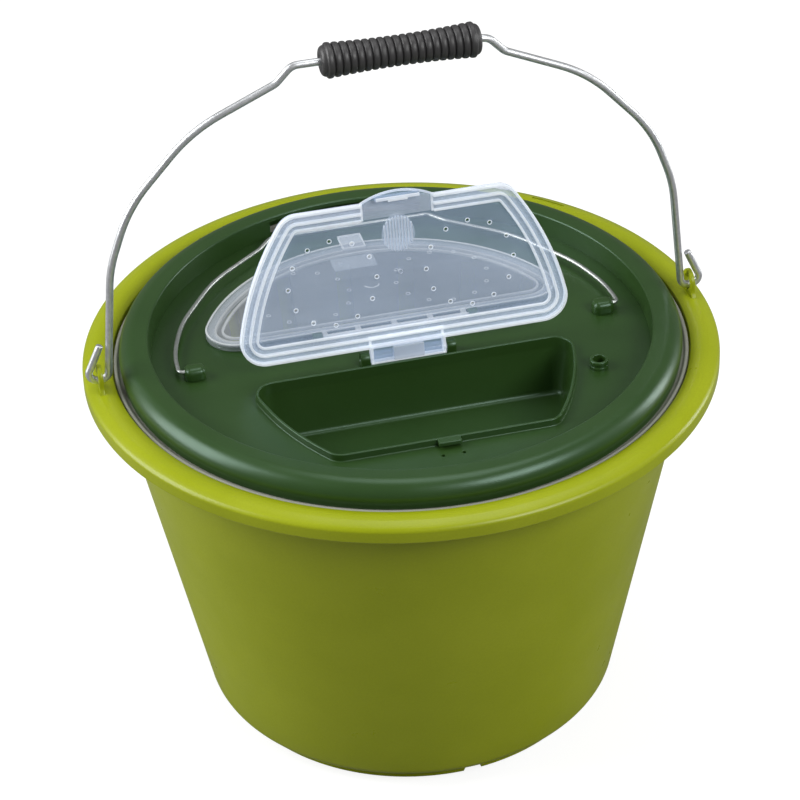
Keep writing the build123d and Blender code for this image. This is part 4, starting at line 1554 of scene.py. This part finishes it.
@dataclass
class ClearCover:
    """What both clear covers share: their axes, finishes, plate, ridges and vents."""

    finishes: list[bpy.types.Material]
    place: Place
    body: str
    plate: float = 1.5
    plate_round: float = 0.3
    skirt_half: float = 0.75
    ridge_half: float = 0.65
    skirt: float = 2.6
    seal_ridge: float = 2.4
    field_ridge: float = 1.2
    vent: float = 0.9
    collar: float = 0.22

    def put(self, name: str, shells: Iterable[Zoned], nodes: tuple[str, ...] = ()) -> None:
        """Makes one piece of shells in the cover's own axes, each in its zone's finish."""
        set_in = [shell.painted(zone.value).moved(self.place) for shell, zone in shells]
        Piece(name, self.body, Slot.CLEAR, set_in, self.finishes, nodes).build()

    def walls(self) -> tuple[Triple, ...]:
        """The three walls under a cover's plate: the skirt and two ridges.

        Returns:
            Inset, half width and depth of each wall.
        """
        return (
            (0.75, self.skirt_half, self.skirt),
            (5.35, self.ridge_half, self.seal_ridge),
            (9.35, self.ridge_half, self.field_ridge),
        )

    def vented_plate(self, ring: Array, spots: Sequence[Pair], under: float) -> list[Zoned]:
        """Plate inside a ring, with a vent at each spot."""
        rings = [ring] + [circle(spot, self.vent) for spot in spots]
        return [(pierced_plate(rings, under, under + self.plate, self.plate_round), Zone.FIELD)]

    def vent_collar(self, centre: Sequence[float], height: float, lift: float = 0.34) -> Shell:
        """Raised ring round a vent.

        Args:
            centre: middle of the vent.
            height: face that the ring stands on.
            lift: how far the ring stands out.

        Returns:
            The shell.
        """
        turn = np.radians(np.linspace(0, 300, 6))
        across = self.vent + self.collar + self.collar * np.cos(turn)
        ring = spun(np.stack([across, height + lift * np.sin(turn)], axis=1), 14)
        return Shell(ring.points + np.array([centre[0], centre[1], 0]), ring.faces, ring.finish)


@dataclass
class FrontFlap:
    """Clear flap over the aerator well, standing open on its barrel."""

    palette: Palette
    angle: float = 99.0
    under: float = 0.9
    overlap: float = 2.8
    tab_half: float = 19.5
    tab_reach: float = 5.0
    free_edge: float = 86.8
    hinge_half: float = 20.5
    barrel: float = 3.2
    pin: float = 1.4
    pin_reach: float = 3.6
    latch_place: float = 88.95
    latch_depth: float = 4.0
    haze: float = 0.14
    vent_spots: tuple[Pair, ...] = ((-37.2, 45.0), (37.2, 45.0))
    vent_circle: float = 23.8
    boss: Pair = (0.5, 46.0)
    pad_place: float = 68.0
    pad_half_width: float = 8.75
    pad_half_length: float = 10.5
    pad_lean: float = 0.18
    pad_ribs: int = 10

    def place(self) -> Place:
        """Axes of the open flap: across, along the flap from its pivot line, and out of its upper face."""
        turn = np.radians(self.angle)
        return Place((0, FLAP_AXIS, HINGE_HEIGHT), (-1, 0, 0), (0, -np.cos(turn), np.sin(turn)))

    def open_line(self, inset: float) -> Array:
        """The outline moved inwards and cut open at the tab, from one end of the gap round to the other.

        Args:
            inset: how far the outline is moved inwards.

        Returns:
            (across, up) points.
        """
        shape = lip_outline(self.overlap).shifted(0, FLAP_AXIS, flip=True)
        ring = Outline(along(shape.points, 1.5, closed=True)).inset(inset)
        free = (abs(ring[:, 0]) < self.tab_half) & (ring[:, 1] > self.free_edge / 2)
        start = int(np.argmax(free & ~np.roll(free, -1))) + 1
        line = np.roll(ring, -start, axis=0)[: int((~free).sum())]
        first = [self.tab_half * np.sign(line[0, 0]), line[0, 1]]
        last = [self.tab_half * np.sign(line[-1, 0]), line[-1, 1]]
        return np.concatenate([[first], line, [last]])

    def tab_line(self) -> Array:
        """Edge of the finger tab: an arc through both ends of the gap and the tab's reach.

        Returns:
            (across, up) points.
        """
        radius = (self.tab_half**2 + self.tab_reach**2) / (2 * self.tab_reach)
        sweep = np.degrees(np.arcsin(self.tab_half / radius))
        return arc((0, self.free_edge + self.tab_reach - radius), radius, 90 - sweep, 90 + sweep, 2.0)

    def plate_ring(self) -> Array:
        """Closed outline of the plate with its tab.

        Returns:
            (across, up) points.
        """
        line, tab = self.open_line(0.0), self.tab_line()
        tab = tab if abs(tab[0, 0] - line[-1, 0]) < 1 else tab[::-1]
        return np.concatenate([line, tab[1:-1]])

    def egg(self) -> Outline:
        """Outline of the grip pad: (half width * cos a * (1 - lean * sin a), half length * sin a).

        Returns:
            The outline.
        """
        turn = np.linspace(0, 2 * np.pi, 48, endpoint=False)
        across = self.pad_half_width * np.cos(turn) * (1 - self.pad_lean * np.sin(turn))
        return Outline(np.stack([across, self.pad_place + self.pad_half_length * np.sin(turn)], axis=1))

    def pad(self, cover: ClearCover) -> list[Zoned]:
        """Frosted egg-shaped pad with upright ribs, each as long as the egg is at its place.

        Args:
            cover: the clear covers' shared sizes.

        Returns:
            Shells with their zones.
        """
        top = self.under + cover.plate
        shells = [(soft_block(self.egg(), low=top - 0.9, high=top + 0.6, edge=0.5), Zone.BAND)]
        rib_span, longest, oval_half = 7.2, 10.0, 8.9
        for x in np.linspace(-rib_span, rib_span, self.pad_ribs):
            reach = longest * np.sqrt(1 - (x / oval_half) ** 2)
            near, far = self.pad_place - reach - 0.6, self.pad_place + reach * (1 - 0.012 * abs(x)) - 1.2
            line = [(x, near), (x, far)]
            upper = bar(line, half=0.42, root=top - 0.2, tip=top + 1.0)
            lower = bar(line, half=0.30, root=self.under + 0.3, tip=self.under - 0.12, bend=0.1)
            shells += [(upper, Zone.EDGE), (lower, Zone.FROST)]
        return shells

    def ridges(self, cover: ClearCover) -> list[Zoned]:
        """Skirt, two ridges and hazy bands on the underside, cut off at the tab, and a bright bead above.

        Args:
            cover: the clear covers' shared sizes.

        Returns:
            Shells with their zones.
        """
        low, root = self.under, self.under + 0.3
        shells = []
        for inset, half, depth in cover.walls():
            wall = bar_section(half, root, tip=low - depth, bend=0.45)
            shells.append((swept(self.open_line(inset), wall), Zone.EDGE))
        bead = bar_section(half=0.55, root=low + 0.9, tip=low + cover.plate + 0.12, bend=0.3)
        shells.append((swept(self.open_line(0.7), bead), Zone.EDGE))
        for inset, half in ((3.1, 1.5), (7.35, 1.25)):
            haze = bar_section(half, root, tip=low - self.haze, bend=0.1)
            shells.append((swept(self.open_line(inset), haze), Zone.BAND))
        across = self.tab_half - 1.4
        tab = box_outline(-across, across, 77.6, self.free_edge + 0.8, bend=0.8)
        shells.append((soft_block(tab, low=low - self.haze, high=root, edge=0.1), Zone.BAND))
        return shells

    def hinge(self, cover: ClearCover) -> list[Zoned]:
        """Clear box of the hinge: barrel, uprights, bars, a frosted middle block and the two pins.

        Args:
            cover: the clear covers' shared sizes.

        Returns:
            Shells with their zones.
        """
        half, low, r, wall = self.hinge_half, self.under, self.barrel, cover.skirt_half
        flat, deep_end, shallow_end = half - 0.5, 7.0, 11.4
        middle_block = box_outline(-8.5, 8.0, -2.1, 5.4, bend=0.6)
        shells = [(rod(half, r), Zone.FIELD)]
        for side in (-1, 1):
            x = side * (half - wall)
            pin_run = np.array([[side * v, 0, 0] for v in np.linspace(half - 1, half + self.pin_reach, 5)])
            shells += [
                (bar([(x, -r + 0.3), (x, deep_end)], wall, low + 0.6, -r + 0.25), Zone.EDGE),
                (bar([(x, deep_end - 0.4), (x, shallow_end)], wall, low + 0.6, low - 0.18), Zone.EDGE),
                (tube(pin_run, self.pin, (0, 0, 1), sides=14), Zone.EDGE),
            ]
        return shells + [
            (crossbar(flat, 10.6, half=0.8, root=low + 0.4, tip=low - 1.7, bend=0.35), Zone.EDGE),
            (crossbar(flat, -2.7, half=0.55, root=1.4, tip=-2.6), Zone.EDGE),
            (crossbar(flat, 4.0, half=2.2, root=low + 0.5, tip=-2.4, bend=0.4), Zone.FIELD),
            (soft_block(middle_block, low=-3.35, high=0.6, edge=0.3), Zone.FROST),
            (crossbar(half, -1.56, half=1.5, root=0.1, tip=1.65, bend=0.2), Zone.FIELD),
        ]

    def latch(self, cover: ClearCover) -> list[Zoned]:
        """Latch wall under the free edge, with a hooked foot, and the rounded edge of the tab.

        Args:
            cover: the clear covers' shared sizes.

        Returns:
            Shells with their zones.
        """
        low, y, tip = self.under, self.latch_place, self.under - self.latch_depth
        side_bar = self.tab_half - 0.6
        rim = bar_section(half=0.5, root=low + 0.2, tip=low + cover.plate + 0.1, bend=0.35)
        shells = [
            (crossbar(12.0, y, half=0.75, root=low + 0.4, tip=tip, bend=0.35), Zone.FIELD),
            (crossbar(11.6, y - 0.05, half=0.85, root=low - 3.4, tip=tip - 0.05), Zone.EDGE),
            (crossbar(5.2, y - 1.05, half=0.7, root=low - 3.15, tip=tip), Zone.EDGE),
            (swept(self.tab_line() - np.array([0.0, 0.55]), rim), Zone.EDGE),
        ]
        for x in (-side_bar, side_bar):
            side = bar([(x, 77.2), (x, 87.0)], half=0.6, root=low + 0.3, tip=low - 0.18, bend=0.2)
            shells.append((side, Zone.EDGE))
        return shells

    def build(self) -> None:
        """Makes the flap."""
        made_of = self.palette
        finishes = [made_of.clear, made_of.glowing_edge, made_of.frost, made_of.band]
        cover = ClearCover(finishes, self.place(), "flap")
        spots = vent_centres(self.vent_spots, self.vent_circle)
        cover.put("flap_plate", cover.vented_plate(self.plate_ring(), spots, self.under), ("front_flap",))
        cover.put("flap_ridges", self.ridges(cover))
        cover.put("flap_hinge_box", self.hinge(cover))
        cover.put("flap_latch", self.latch(cover))
        cover.put("flap_grip_pad", self.pad(cover))
        collars = [(cover.vent_collar(spot, self.under), Zone.EDGE) for spot in spots]
        collars.append((cover.vent_collar(self.boss, self.under, lift=0.6), Zone.FROST))
        cover.put("flap_vent_collars", collars)


@dataclass
class RearCover:
    """Clear cover over the bait hatch, lying shut."""

    palette: Palette
    under: float = -0.5
    half: float = 40.0
    rod: float = 1.7
    pin: float = 1.4
    pin_reach: float = 3.6
    arms: tuple[float, ...] = (-38.5, -20.0, 0.0, 20.0, 38.5)
    arm_half: float = 1.5
    back: float = 100.2
    tongue_end: float = 108.4
    tongue_half: float = 6.75
    middle: float = -2.6
    vent_spread: float = 39.0
    vent_place: float = 41.4
    vent_circle: float = 25.7
    mark_place: float = 44.5
    mark_radius: float = 4.2

    def ridges(self, cover: ClearCover, shape: Outline) -> list[Zoned]:
        """Skirt, two ridges and a hazy band under the plate, and a bead round its edge.

        Args:
            cover: the clear covers' shared sizes.
            shape: the plate's outline, from the pivot line.

        Returns:
            Shells with their zones.
        """
        low, top = self.under, self.under + cover.plate
        shells = []
        for inset, half, depth in cover.walls():
            section = bar_section(half, root=low + 0.3, tip=low - depth, bend=0.45) * np.array([-1, 1])
            zone = Zone.FIELD if depth == cover.skirt else Zone.EDGE
            shells.append((carried(shape, section + np.array([inset, 0])), zone))
        bead = bar_section(half=0.5, root=top - 0.5, tip=top + 0.16, bend=0.3)
        shells.append((carried(shape, bead + np.array([0.6, 0])), Zone.EDGE))
        haze = bar_section(half=1.9, root=low + 0.3, tip=low - 0.12, bend=0.1)
        shells.append((carried(shape, haze + np.array([3.1, 0])), Zone.BAND))
        return shells

    def hinge(self, cover: ClearCover) -> list[Zoned]:
        """Rod with its pins and five arms.

        Args:
            cover: the clear covers' shared sizes.

        Returns:
            Shells with their zones.
        """
        shells = [(rod(self.half, self.rod), Zone.EDGE), (rod(self.half + self.pin_reach, self.pin), Zone.EDGE)]
        top = self.under + cover.plate - 0.05
        for x in self.arms:
            outline = box_outline(x - self.arm_half, x + self.arm_half, 0.2, 6.4, bend=0.3)
            shells.append((soft_block(outline, self.under, top, edge=0.25), Zone.EDGE))
        return shells

    def fittings(self, cover: ClearCover) -> list[Zoned]:
        """Tongue box at the back, framed recess, and the small curved gate mark.

        Args:
            cover: the clear covers' shared sizes.

        Returns:
            Shells with their zones.
        """
        top = self.under + cover.plate
        root, tip = top - 0.6, top + 0.5
        back, end = self.back - COVER_AXIS, self.tongue_end - COVER_AXIS
        x0, x1 = self.middle - self.tongue_half, self.middle + self.tongue_half
        tongue = box_outline(x0, x1, back - 6.5, end, bend=0.8)
        shells = [(soft_block(tongue, self.under, top - 0.02, edge=0.4), Zone.FROST)]
        for x in (x0 + 0.5, x1 - 0.5):
            side = bar([(x, back - 6.1), (x, end - 0.4)], 0.45, root, tip, bend=0.25)
            shells.append((side, Zone.EDGE))
        for y in (back - 6.1, end - 0.6):
            across = bar([(x0 + 0.3, y), (x1 - 0.3, y)], 0.5, root, tip, bend=0.25)
            shells.append((across, Zone.EDGE))
        recess = box_outline(-18.5, 6.0, 64.7, 77.4, bend=0.8)
        shells.append((soft_block(recess, self.under - 0.12, self.under + 0.3, edge=0.1), Zone.BAND))
        mark = arc((self.middle, self.mark_place), self.mark_radius, 200, 340, 20.0)
        raised = bar_section(half=0.35, root=top - 0.3, tip=top + 0.25, bend=0.2)
        shells.append((swept(mark, raised), Zone.EDGE))
        return shells

    def build(self) -> None:
        """Makes the cover."""
        made_of = self.palette
        finishes = [made_of.clear_neutral, made_of.edge_neutral, made_of.frost, made_of.band]
        cover = ClearCover(finishes, Place((0, COVER_AXIS, HINGE_HEIGHT)), "cover")
        shape = cover_outline().shifted(0, -COVER_AXIS)
        both = [(self.middle + across, self.vent_place) for across in (-self.vent_spread, self.vent_spread)]
        spots = vent_centres(both, self.vent_circle)
        nodes = ("rear_cover", "cover_border", "cover_tongue")
        cover.put("cover_plate", cover.vented_plate(shape.points, spots, self.under), nodes)
        cover.put("cover_ridges", self.ridges(cover, shape))
        cover.put("cover_hinge", self.hinge(cover))
        cover.put("cover_fittings", self.fittings(cover))
        top = self.under + cover.plate
        cover.put("cover_vent_collars", [(cover.vent_collar(spot, top, 0.25), Zone.EDGE) for spot in spots])


# ---------------------------------------------------------------- lid handle


@dataclass
class LidHandle:
    """Thin wire handle that lies round the covers and turns in the lid's lugs."""

    palette: Palette
    wire: float = 1.2
    reach: float = 120.8
    bow: float = 85.0
    hip: float = 6.0

    def build(self) -> None:
        """Makes the wire."""
        right = [(46.0, 118.0, self.hip), (54.0, 108.0, self.hip)]
        right += [(86.0, 82.0, self.bow), (111.0, 44.0, self.bow), (self.reach, 14.0, self.bow)]
        right += [(self.reach, HANDLE_AXIS, 2.4), (110.2, HANDLE_AXIS, 0)]
        line = along(rounded_line(mirrored(right) + right, step=4.0), 4.0)
        path = np.column_stack([line, np.full(len(line), HANDLE_HEIGHT)])
        wire = [tube(path, self.wire, (0, 0, 1), sides=14, cap=0.4)]
        Piece("lid_handle_drawn", "handle", Slot.WIRE, wire, [self.palette.shaded_thin_wire], ("lid_handle",)).build()


# ---------------------------------------------------------------- studio


@dataclass
class Studio:
    """Pale floor, soft lamps, plain surroundings and the camera."""

    target: Triple = (0.0, 0.0, 0.1773)
    distance: float = 1.6
    azimuth: float = -13.2
    elevation: float = 34.16
    roll: float = -2.01
    focal_pixels: float = 2946.6
    frame_pixels: float = 800.0
    side_pixels: float = 2.61
    fill: float = 0.13
    gloss_fill: float = 0.13
    floor_half: float = 6.0
    floor_sunk: float = 0.0004
    floor_grey: float = 0.25
    floor_glow: float = 0.85

    def camera(self) -> None:
        """Camera on a sphere round the target, turned about its own axis by the roll."""
        a, e, r = (float(np.radians(v)) for v in (self.azimuth, self.elevation, self.roll))
        back = Vector((np.sin(a) * np.cos(e), -np.cos(a) * np.cos(e), np.sin(e)))
        level = Vector((np.cos(a), np.sin(a), 0.0))
        rise = back.cross(level)
        across = level * np.cos(r) + rise * np.sin(r)
        up = rise * np.cos(r) - level * np.sin(r)
        data = bpy.data.cameras.new("main_view")
        data.sensor_width = 36.0
        data.lens = self.focal_pixels / self.frame_pixels * data.sensor_width
        data.shift_x = -self.side_pixels / self.frame_pixels
        data.clip_end = 50.0
        eye = bpy.data.objects.new("main_view", data)
        axes = Matrix((across, up, back)).transposed().to_4x4()
        eye.matrix_world = Matrix.Translation(Vector(self.target) + back * self.distance) @ axes
        bpy.context.scene.collection.objects.link(eye)
        bpy.context.scene.camera = eye

    def lamp(self, name: str, place: Sequence[float], size: Pair, power: float) -> None:
        """Oblong area lamp aimed at the target, its first side level.

        Args:
            name: the lamp's name.
            place: the lamp's middle, in metres.
            size: length of both sides, in metres.
            power: power in watts.
        """
        data = bpy.data.lights.new(name, "AREA")
        data.shape, data.energy = "RECTANGLE", power
        data.size, data.size_y = size
        lamp = bpy.data.objects.new(name, data)
        aim = Vector(self.target) - Vector(place)
        turn = aim.to_track_quat("-Z", "Y").to_matrix().to_4x4()
        lamp.matrix_world = Matrix.Translation(Vector(place)) @ turn
        bpy.context.scene.collection.objects.link(lamp)

    def surroundings(self) -> None:
        """World that is white to the camera and through clear plastic, dim to gloss, and softer as light."""
        world = bpy.data.worlds.new("white_studio")
        bpy.context.scene.world = world
        world.use_nodes = True
        tree = world.node_tree
        paths = tree.nodes.new("ShaderNodeLightPath").outputs
        seen = worked_out(tree, "MAXIMUM", paths["Is Camera Ray"], paths["Is Transmission Ray"])
        sheen = worked_out(tree, "MULTIPLY", paths["Is Glossy Ray"], self.gloss_fill)
        strength = tree.nodes.new("ShaderNodeMapRange")
        join(tree, strength.inputs["Value"], worked_out(tree, "MAXIMUM", seen, sheen))
        join(tree, strength.inputs["To Min"], self.fill)
        join(tree, strength.inputs["To Max"], 1.0)
        background = tree.nodes["Background"]
        join(tree, background.inputs["Color"], colour(1.0, 1.0, 1.0))
        join(tree, background.inputs["Strength"], strength.outputs["Result"])

    def floor(self) -> None:
        """Wide pale floor: bright to the camera where it is lit, and it keeps the object's shadow."""
        span = np.linspace(-self.floor_half, self.floor_half, 9)
        across, depth = np.meshgrid(span, span, indexing="ij")
        points = np.stack([across, depth, np.full_like(across, -self.floor_sunk)], axis=-1)
        shell = Shell.grid(points, False, False)
        mesh = bpy.data.meshes.new("pale_floor")
        mesh.from_pydata(shell.points.tolist(), [], shell.faces.tolist())
        g = Graph("pale_floor")
        paths = g.add("ShaderNodeLightPath").outputs
        material = g.finished(
            Base_Color=colour(self.floor_grey, self.floor_grey, self.floor_grey),
            Roughness=0.9,
            Specular_IOR_Level=0.0,
            Emission_Color=colour(1.0, 1.0, 1.0),
            Emission_Strength=worked_out(g.tree, "MULTIPLY", paths["Is Camera Ray"], self.floor_glow),
        )
        mesh.materials.append(material)
        floor = bpy.data.objects.new("pale_floor", mesh)
        bpy.context.scene.collection.objects.link(floor)

    def build(self) -> None:
        """Sets up the studio."""
        self.camera()
        self.surroundings()
        self.lamp("overhead_softbox", (0.30, 0.46, 2.50), size=(1.35, 1.3), power=13.5)
        self.lamp("left_softbox", (-1.99, 0.45, 1.24), size=(1.6, 1.9), power=60.0)
        self.lamp("front_softbox", (0.98, -1.50, 1.55), size=(1.15, 0.95), power=28.0)
        self.lamp("right_strip", (2.24, 0.30, 0.62), size=(0.55, 1.1), power=18.0)
        self.floor()
        bpy.context.scene.view_settings.view_transform = "Standard"


# ---------------------------------------------------------------- the whole object


def main(frame: dict) -> None:
    """Builds the studio and every sub-assembly in order.
    """
    logging.basicConfig(level=logging.INFO, format="%(name)s: %(message)s")
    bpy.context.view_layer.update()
    Studio().build()
    palette = Palette()
    Bucket(palette).build()
    Bail(palette).build()
    Basket(palette).build(frame)
    Lid(palette).build(frame)
    FrontFlap(palette).build()
    RearCover(palette).build()
    LidHandle(palette).build()


if __name__ == "__main__":
    main(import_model())
